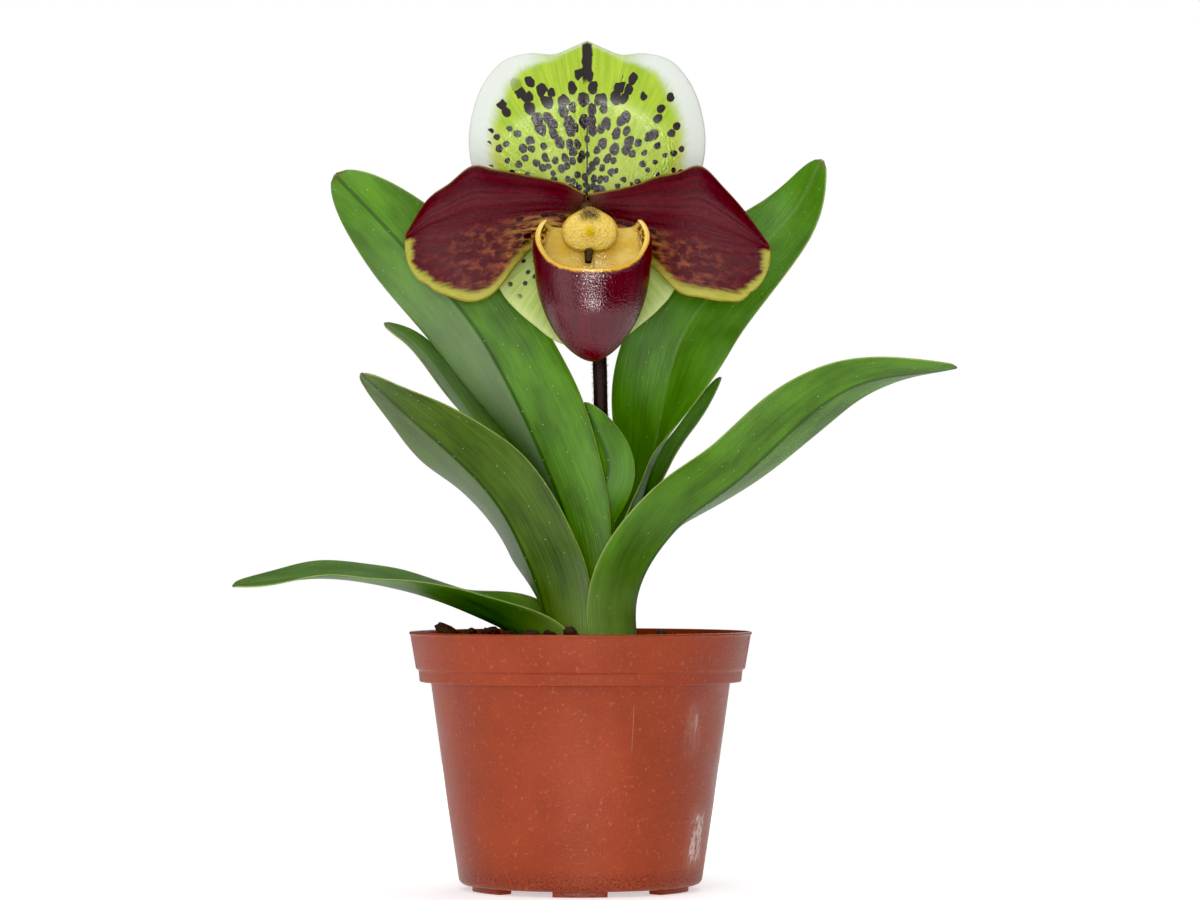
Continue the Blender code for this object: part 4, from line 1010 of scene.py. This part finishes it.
def build_mix():
    """The mix's body with a crumbly top, and bark chips of every size over it."""
    sides = 144
    step = COLLAR_FOOT_Z + WALL
    floor = FOOT_HEIGHT + FLOOR_THICKNESS
    top = [(r, None) for r in np.linspace(HOLE_RADIUS, MIX_RADIUS, 26)]
    profile = [(0.0, HOLE_FLOOR), (HOLE_RADIUS, HOLE_FLOOR), *top,
               (COLLAR_FOOT_RADIUS + 0.4 - WALL - SEAT_GAP, step + SEAT_GAP),
               (body_radius(step, WALL) - SEAT_GAP, step + SEAT_GAP - 0.6),
               (body_radius(floor + 2, WALL) - SEAT_GAP, floor + 2),
               (body_radius(floor, WALL) - 2 - SEAT_GAP, floor + SEAT_GAP), (0, floor + SEAT_GAP)]
    points, rings = [], []
    for radius, height in profile:
        count = 1 if radius < 1e-6 else sides
        inside = height is None or height == HOLE_FLOOR
        shift = max(0.0, 1 - max(radius - HOLE_RADIUS, 0) / 20) if inside else 0.0
        for k in range(count):
            a = 2 * math.pi * (k + 0.5) / sides
            x = radius * math.cos(a) + CROWN[0] * shift
            y = radius * math.sin(a) + CROWN[1] * shift
            z = height
            if height is None:
                z = mix_height(radius, a) + 0.9 * noise.noise(Vector((x * 0.7, y * 0.7, 3.0)))
                z += 0.5 * noise.noise(Vector((x * 2.1, y * 2.1, 7.0))) + mound(x, y)
            points.append((x, y, z))
        rings.append(count)
    faces = turned_faces(rings, sides)
    tones = [(0.0, 0.0, 0.0)] * len(points)
    local = list(points)
    chips = [(chip, True) for chip in [*chip_places(), *loose_chips()]]
    chips += [(chip, False) for chip in small_chip_places()]
    for chip, fine in chips:
        chip_points, chip_faces, chip_local = chip_mesh(*chip, fine)
        start = len(points)
        tone = random.Random(chip[0]).random()
        points += [tuple(p) for p in chip_points]
        faces += [tuple(start + i for i in face) for face in chip_faces]
        tones += [(tone, 0.0, 0.0)] * len(chip_points)
        local += [tuple(p + Vector((13.0 * tone, 7.0 * tone, 0))) for p in chip_local]
    mix = add_mesh("bark_mix", points, faces, bark_material(), place=tones, flat=local)
    mix.data.set_sharp_from_angle(angle=math.radians(30))
    show(mix, "bark_mix", "potting_mix")


# Stem, ovary and bract

def tube_rings(points, radii, sides, lobes=0, lobe_depth=0.0):
    line = np.asarray(points, float)
    tangent = np.gradient(line, axis=0)
    tangent /= np.linalg.norm(tangent, axis=1)[:, None]
    side = np.array([1.0, 0.0, 0.0])
    turns = 2 * math.pi * np.arange(sides) / sides
    reach = 1 + lobe_depth * np.cos(lobes * turns)
    rings, outward = [], []
    for middle, ahead, radius in zip(line, tangent, radii):
        side = side - ahead * (side @ ahead)
        side /= np.linalg.norm(side)
        other = np.cross(ahead, side)
        direction = np.cos(turns)[:, None] * side + np.sin(turns)[:, None] * other
        rings.append(middle + direction * (radius * reach)[:, None])
        outward.append(direction)
    return np.array(rings), np.array(outward), tangent


def tube_piece(name, rings, material):
    count, sides = rings.shape[:2]
    turns = 2 * math.pi * np.arange(sides) / sides
    flat = stacked(3 * np.cos(turns), lengths_along(rings, 0), 3 * np.sin(turns))
    return add_mesh(name, rings.reshape(-1, 3), tube_faces(count, sides), material, flat=flat)


def hair_piece(name, roots, directions, lengths, thickness, material):
    """Many short tapered hairs, each bent a little."""
    points, faces, flat = [], [], []
    for root, direction, length in zip(roots, directions, lengths):
        direction = Vector(direction).normalized()
        aside = direction.orthogonal().normalized()
        other = direction.cross(aside)
        start = len(points)
        root = Vector(root)
        bend = aside * (0.18 * length)
        for share, wide in ((0.0, 1.0), (0.55, 0.7)):
            middle = root + direction * (length * share) + bend * share ** 2
            for k in range(3):
                a = 2 * math.pi * k / 3
                points.append(middle + (aside * math.cos(a) + other * math.sin(a)) * thickness * wide)
                flat.append((0.0, share, 0.0))
        points.append(root + direction * length + bend)
        flat.append((0.0, 1.0, 0.0))
        for k in range(3):
            m = (k + 1) % 3
            faces.append((start + k, start + m, start + 3 + m, start + 3 + k))
            faces.append((start + 3 + k, start + 3 + m, start + 6))
    return add_mesh(name, points, faces, material, flat=flat)


def hairs_on_tube(name, rings, outward, tangent, count, length, material, seed):
    draw = random.Random(seed)
    rows, sides = rings.shape[:2]
    roots, directions, lengths = [], [], []
    for _ in range(count):
        i, k = draw.randrange(rows - 1), draw.randrange(sides)
        share = draw.random()
        roots.append(rings[i, k] * (1 - share) + rings[i + 1, k] * share)
        lean = np.array([draw.uniform(-0.35, 0.35) for _ in range(3)]) + 0.25 * tangent[i]
        directions.append(outward[i, k] + lean)
        lengths.append(length * draw.uniform(0.5, 1.15))
    return hair_piece(name, roots, directions, lengths, 0.045, material)


def build_tube(name, slot, node, rings, outward, tangent, finish, hair, hair_count, hair_length, seed):
    """A stem-like piece that stands for a node, and its coat of hairs."""
    show(tube_piece(name, rings, finish), slot, node)
    hairs = hairs_on_tube(node.split("_")[-1] + "_hairs", rings, outward, tangent,
                          hair_count, hair_length, hair, seed)
    show(hairs, slot)


def build_stem_parts():
    hair = hair_material()
    line = smooth_line(STEM_LINE, 110)
    radii = np.linspace(STEM_RADIUS + 0.2, STEM_RADIUS - 0.2, len(line))
    swelling = 1 + 0.02 * np.sin(np.linspace(0, 40, len(line)))
    build_tube("stem", "stem_purple", "flower_stem", *tube_rings(line, radii * swelling, 28, 7, 0.012),
               stem_material("stem_purple", (0.010, 0.003, 0.004), (0.045, 0.018, 0.018)),
               hair, 3200, 0.95, 5)
    shares = np.linspace(0, 1, len(OVARY_RADII))
    radii = smooth_value(np.linspace(0, 1, 70), list(zip(shares, OVARY_RADII)))
    line = smooth_line(OVARY_LINE, 70)
    build_tube("ovary_ribbed", "ovary_green", "ovary", *tube_rings(line, radii, 48, 3, 0.06),
               stem_material("ovary_green", (0.045, 0.040, 0.014), (0.13, 0.13, 0.04)),
               hair, 1500, 0.8, 6)
    build_bract()


def build_bract():
    rows, half = 60, 12
    t = np.linspace(0, 1, rows)[:, None]
    across = np.arange(-half, half + 1) / half
    reach = BRACT_WIDTH * (1 - t ** 2.2) ** 0.6 + 0.5
    bend = math.radians(30) * across * (1 - 0.3 * t)
    out = reach * across
    offset = stacked(out * np.cos(bend), -1.6 * np.abs(out * np.sin(bend)), 0.0)
    grid = smooth_line(BRACT_LINE, rows)[:, None] + offset
    thickness = np.full(grid.shape[:2], 0.8)
    thickness[:, [0, -1]] = 0.15
    thickness[[0, -1]] = 0.15
    sheath = sheet_piece("bract_sheath", grid, thickness, stacked(across, t, 0.0),
                         stacked(out, 35 * t, reach - np.abs(out)), bract_material())
    show(sheath, "bract_green", "bract")


# Flower

def fan_grid(outline, up, rows, columns, depth):
    """Middle surface of a sepal that stands up or hangs down, with its material coordinates."""
    widest = outline[-1][0]
    degrees = np.linspace(-widest, widest, columns)
    reach = smooth_value(np.abs(degrees), outline)
    start = HUB_RADIUS + SEAT_GAP + 0.3
    share = np.linspace(0, 1, rows)[:, None]
    radius = start + (reach - start) * share
    angle = np.radians(degrees)
    x, z = radius * np.sin(angle), radius * np.cos(angle)
    grid = stacked(HUB[0] + x, depth(x, radius / reach, angle), HUB[1] + up * z)
    return grid, stacked(degrees / widest, share, 0.0), stacked(x, z, reach - radius)


def dorsal_depth(x, share, angle):
    """The upper sepal leans forward at its tip, its sides roll back, its midrib is a shallow groove."""
    lean = -5.0 * share ** 2 * np.maximum(np.cos(angle), 0) ** 2
    rolled = 5.5 * share ** 3 * np.sin(angle) ** 2
    groove = 1.2 * np.exp(-(x / 2.5) ** 2) * np.minimum(1, share * 3) * (1 - share)
    cup = -1.0 * np.sin(math.pi * share) * np.abs(np.sin(2 * angle))
    ripple = 0.35 * np.sin(9 * angle) * share ** 4
    return 0.4 + lean + rolled + groove + cup + ripple


def ventral_depth(_, share, angle):
    """The fused lower sepals stand behind the lip and curve a little forward at the tip."""
    return 0.6 - 4.0 * share ** 2 * np.maximum(np.cos(angle), 0) + 1.5 * share * np.sin(angle) ** 2


def rounded_edges(shape, thickness, cells=3):
    """A thickness that thins to nothing over the last few cells of each edge."""
    full = np.full(shape, thickness)
    for k in reversed(range(cells)):
        thin = thickness * math.sqrt(1 - (1 - (k + 0.3) / cells) ** 2)
        full[[k, -1 - k], :] = np.minimum(full[[k, -1 - k], :], thin)
        full[:, [k, -1 - k]] = np.minimum(full[:, [k, -1 - k]], thin)
    return full


def flower_sheet(name, grid, place, flat, thickness, material):
    """A blade whose first face looks to -Y, the front."""
    rows, columns = grid.shape[:2]
    if normals_of(grid)[rows // 2, columns // 2, 1] > 0:
        grid, place, flat = grid[:, ::-1], place[:, ::-1], flat[:, ::-1]
    return sheet_piece(name, grid, rounded_edges((rows, columns), thickness), place, flat, material)


def build_sepals():
    dorsal = fan_grid(DORSAL_OUTLINE, 1, 80, 221, dorsal_depth)
    show(flower_sheet("dorsal_sepal_spotted", *dorsal, SEPAL_THICKNESS, dorsal_material()),
         "sepal_green", "dorsal_sepal")
    ventral = fan_grid(VENTRAL_OUTLINE, -1, 60, 121, ventral_depth)
    show(flower_sheet("ventral_sepal_pale", *ventral, SEPAL_THICKNESS, ventral_material()),
         "sepal_pale", "ventral_sepal")


def petal_grid(petal, rows, half):
    """Middle surface of a petal: a grooved midrib with a rolled upper half and a waved lower half."""
    start = (HUB[0] + 0.15 * (petal["spine"][0][0] - HUB[0]), *petal["spine"][0][1:])
    line = smooth_line([start] + petal["spine"][1:], rows)
    places = np.linspace(0, 1, len(petal["above"]))
    t = np.linspace(0, 1, rows)[:, None]
    above = smooth_value(t, list(zip(places, petal["above"])))
    below = smooth_value(t, list(zip(places, petal["below"])))
    closing = np.sqrt(np.maximum(1 - np.maximum((t - 0.82) / 0.18, 0) ** 2, 0))
    rounder = 0.92 * np.interp(0.82, places, petal["below"]) * closing
    below = np.where(t > 0.82, np.maximum(below, rounder), below)
    along = lengths_along(line[:, None], 0)
    across = np.arange(-half, half + 1) / half
    v = np.abs(across)
    reach = np.where(across < 0, below, above)
    soft = np.hypot(v, 0.09) - 0.09
    rolled = -2.2 * np.sin(math.pi * 0.62 * soft) + 4.5 * v ** 3
    waved = -2.4 * soft + (2.6 + 1.1 * np.sin(9.0 * t)) * v ** 2
    pleats = 0.05 * np.sin(34 * v + 3 * t) * (1 - v ** 4)
    pleats = pleats + 0.25 * np.sin(23 * t + 5 * np.sign(across)) * v ** 3
    depth = ease(t / 0.25) * (np.where(across < 0, waved, rolled) + pleats)
    grid = line[:, None] + stacked(0.0, depth, reach * across)
    edge = np.minimum(reach * (1 - v), along[-1] - along + 0.8)
    return grid, stacked(across, t, 0.0), stacked(reach * across, along, edge)


def build_petals():
    for name, petal in (("petal_left", PETAL_LEFT), ("petal_right", PETAL_RIGHT)):
        grid = petal_grid(petal, 150, 34)
        piece = flower_sheet(name + "_blade", *grid, PETAL_THICKNESS, petal_material(name))
        show(piece, "petal_maroon", name)


def lip_section(z):
    """Half width, half depth and middle of the pouch at a height."""
    if z < LIP_MOUTH_Z:
        share = (LIP_MOUTH_Z - z) / (LIP_MOUTH_Z - LIP_TOE_Z)
        swell = max(1 - share ** 1.8, 0.0) ** 0.6
        half_width = LIP_HALF_WIDTH * swell
    else:
        up = (z - LIP_MOUTH_Z) / 17.0
        swell = 1.0
        half_width = LIP_HALF_WIDTH + 1.2 * math.sin(math.pi * min(up, 1.0) * 0.8) - 4.5 * up ** 3
    back = -7.4 - 5.0 * (1 - (z - LIP_TOE_Z) / 48.0)
    half_depth = LIP_HALF_DEPTH * (0.25 * swell + 0.75 * swell ** 1.1)
    return half_width, half_depth, back - LIP_HALF_DEPTH


def lip_point(turn, share, inset):
    """A point of the pouch: turn is degrees round from the front, share is 0 at the toe and 1 at the rim."""
    toe = LIP_TOE_Z + inset
    rim = float(smooth_value(np.array([abs(turn)]), LIP_RIM)[0])
    z = toe + (rim - toe) * share
    half_width, half_depth, middle = lip_section(z - inset * (1 - share))
    a = math.radians(turn)
    x = LIP_X + max(half_width - inset, 0.05) * math.sin(a)
    y = middle - max(half_depth - inset, 0.05) * math.cos(a)
    return np.array((x, y, z)), rim


def build_lip():
    """The pouch: outer wall up, over a rounded rim, and down the inner wall."""
    sides, levels = 160, 56
    shares = np.linspace(0.0, 1.0, levels) ** 1.6
    shares = 1 - (1 - shares) ** 1.25
    walls = [(s, 0.0, 0.0) for s in shares]
    roll = [(1.0, LIP_WALL * (1 - math.cos(a)) / 2, 0.5 * math.sin(a))
            for a in np.linspace(0.5, math.pi - 0.5, 6)]
    walls += roll + [(s, LIP_WALL, 0.0) for s in shares[::-1]]
    points, place, flat = [], [], []
    turns = [-180 + 360 * k / sides for k in range(sides)]
    for share, inset, lift in walls:
        inner = 1.0 if inset > LIP_WALL / 2 else 0.0
        for turn in turns:
            point, rim = lip_point(turn, share, inset)
            flare = 0.5 * ease((share - 0.9) / 0.1) * (1 - inner)
            ahead = max(math.cos(math.radians(turn)), 0.0)
            point[1] -= 2.0 * math.exp(-((point[2] - 199.0) / 9.0) ** 2) * ahead ** 2
            outward = np.array((math.sin(math.radians(turn)), -math.cos(math.radians(turn)), 0.0))
            points.append(point + outward * flare + (0, 0, lift - 0.25 * (lift > 0)))
            place.append((turn / 180, share, inner))
            flat.append((turn / 180 * 50, point[2] - LIP_TOE_Z, rim - point[2]))
    faces = tube_faces(len(walls), sides)
    lip = add_mesh("lip_slipper", points, faces, lip_material(), place=place, flat=flat)
    show(lip, "lip_maroon", "lip_pouch")


def shield_reach(turn):
    """Outline of the staminode: broad, pointed above and notched below."""
    up = math.cos(turn)
    wide = 8.6 + 1.2 * math.sin(turn) ** 2
    point = 1.6 * math.exp(-((turn if turn < math.pi else 2 * math.pi - turn) / 0.45) ** 2)
    notch = -1.2 * math.exp(-((turn - math.pi) / 0.3) ** 2)
    return wide - 1.4 * up * up + point + notch


def build_column():
    """Hub and neck, the warty shield with a knob in its middle, the stigma, whose dark colour is partly
    painted shade of the gap under the shield, and the hairs.
    """
    hub_x, hub_z = HUB
    shield = np.array(SHIELD)
    line = smooth_line([(hub_x, HUB_BACK, hub_z), (hub_x, -4, hub_z), (hub_x, HUB_FRONT, hub_z),
                        (hub_x + 0.4, -13, hub_z - 3), shield + (0, 0.2, 1)], 50)
    radii = between(np.linspace(0, 1, 50), (0, 0.6, 0.8, 1), (HUB_RADIUS, HUB_RADIUS, 3.2, 2.6))
    rings, _, _ = tube_rings(line, radii, 40)
    finish = stem_material("neck", (0.030, 0.007, 0.005), (0.13, 0.055, 0.016))
    show(tube_piece("column_neck", rings, finish), "column_yellow", "column")
    build_shield(shield)
    line = smooth_line(shield + ((-0.2, 1.5, -3), (-0.4, 0.5, -7), (-0.5, -1.0, -10.5)), 16)
    rings, _, _ = tube_rings(line, np.linspace(1.9, 1.2, 16), 20)
    # The stigma is a real part, but its dark brown is partly painted shade, standing in for the shadowed gap
    # under the shield.
    finish = stem_material("stigma", (0.018, 0.008, 0.004), (0.10, 0.06, 0.02))
    show(tube_piece("stigma", rings, finish), "column_yellow")
    build_column_hairs(shield)


def build_shield(shield):
    rows, sides = 34, 140
    points, flat = [], []
    for front, order in ((True, range(rows)), (False, reversed(range(rows)))):
        for i in order:
            s = (i + 0.02) / (rows - 1 + 0.02)
            for k in range(sides):
                a = 2 * math.pi * k / sides
                reach = shield_reach(a) * s
                x, z = reach * math.sin(a), reach * math.cos(a)
                swell = 1.5 * (1 - s ** 2) + 0.9 * (1 - s ** 12) + 1.3 * math.exp(-(s / 0.3) ** 2)
                wart = 0.45 * max(noise.noise(Vector((x, z, 5.0)) * 0.95), 0) * (1 - s ** 8)
                depth = -(swell + wart) if front else 0.9 * (1 - s ** 2)
                points.append(shield + (x, depth, z))
                flat.append((x, z, shield_reach(a) - reach))
    plate = add_mesh("staminode", points, tube_faces(2 * rows, sides), column_material(), flat=flat)
    show(plate, "column_yellow")


def build_column_hairs(shield):
    """Hairs round the hub, at the foot of the petals, and at the top of the shield."""
    draw = random.Random(9)
    roots, directions, lengths = [], [], []
    for _ in range(620):
        aside, rise = draw.gauss(0, 6.0), draw.gauss(1.6, 1.9)
        near = math.hypot(aside, rise) < HUB_RADIUS
        depth = HUB_FRONT - 0.1 if near else -5.4 - 0.2 * abs(aside)
        roots.append((HUB[0] + aside, depth, HUB[1] + rise - 0.22 * abs(aside)))
        directions.append((draw.uniform(-0.6, 0.6), -1.0, draw.uniform(-0.7, 0.6)))
        lengths.append(draw.uniform(0.8, 2.2))
    for _ in range(420):
        x, z = draw.gauss(0, 1.9), 5.8 + draw.gauss(0, 1.5)
        roots.append(shield + (x, -1.9 + 0.12 * abs(x), z))
        directions.append((draw.uniform(-0.7, 0.7), -1.0, draw.uniform(-0.6, 0.5)))
        lengths.append(draw.uniform(0.5, 1.5))
    show(hair_piece("staminode_hairs", roots, directions, lengths, 0.05, hair_material()), "column_yellow")


# Stage

def build_stage():
    """A pale floor that brightens outwards into the white background."""
    mesh = bpy.data.meshes.new("floor")
    turns = np.linspace(0, 2 * math.pi, FLOOR_SIDES, endpoint=False)
    mesh.from_pydata(round_points(FLOOR_RADIUS, 0.0, turns), [], [tuple(range(FLOOR_SIDES))])
    g = Graph("floor", 0.7)
    x, y, _ = g.parts(g.object_place())
    glow = g.distance(x, y).fade(0.25, 0.85, 0.52, 0.95)
    g.set(Base_Color=(0.80, 0.80, 0.80), Specular_IOR_Level=0.1)
    g.set(Emission_Color=(1.0, 1.0, 1.0), Emission_Strength=glow)
    mesh.materials.append(g.material)
    floor = link("floor", mesh)


def aim(name, data, place, target):
    """A light or camera at a place, turned to its target."""
    made = link(name, data)
    made.location = place
    made.rotation_euler = (Vector(target) - Vector(place)).to_track_quat("-Z", "Y").to_euler()
    return made


def build_lights():
    """Soft area lights, and a world that lights dimly but shows white to the camera."""
    world = bpy.data.worlds.new("studio")
    bpy.context.scene.world = world
    world.use_nodes = True
    nodes, links = world.node_tree.nodes, world.node_tree.links
    path = nodes.new("ShaderNodeLightPath")
    shade = nodes.new("ShaderNodeMix")
    shade.data_type = "RGBA"
    shade.inputs[6].default_value = (0.20, 0.205, 0.21, 1)
    shade.inputs[7].default_value = (1.0, 1.0, 1.0, 1)
    links.new(path.outputs["Is Camera Ray"], shade.inputs[0])
    links.new(shade.outputs[2], nodes["Background"].inputs[0])
    for name, place, size, power in LIGHTS:
        data = bpy.data.lights.new(name, "AREA")
        data.shape = "RECTANGLE"
        data.size, data.size_y = size
        data.energy = power
        aim(name, data, place, LIGHTS_AIM)


def build_camera():
    """The photograph's place and lens, which show the 120 mm rim as 343 of 1200 pixels."""
    data = bpy.data.cameras.new("camera")
    data.sensor_width = 36.0
    data.lens = CAMERA_LENS_MM
    bpy.context.scene.camera = aim("camera", data, CAMERA_PLACE, CAMERA_TARGET)
    view = bpy.context.scene.view_settings
    view.view_transform = "Standard"
    view.gamma = 0.95
    view.use_curve_mapping = True
    view.curve_mapping.black_level = (0.013, 0.013, 0.013)
    view.curve_mapping.update()


def main():
    build_camera()
    build_lights()
    build_stage()
    build_pot()
    build_mix()
    crown = frame["nodes"]["crown"]
    crown.data.materials.clear()
    crown.data.materials.append(crown_material())
    for name, leaf in LEAVES.items():
        build_leaf(name, leaf)
    build_stem_parts()
    build_sepals()
    build_petals()
    build_lip()
    build_column()


main()
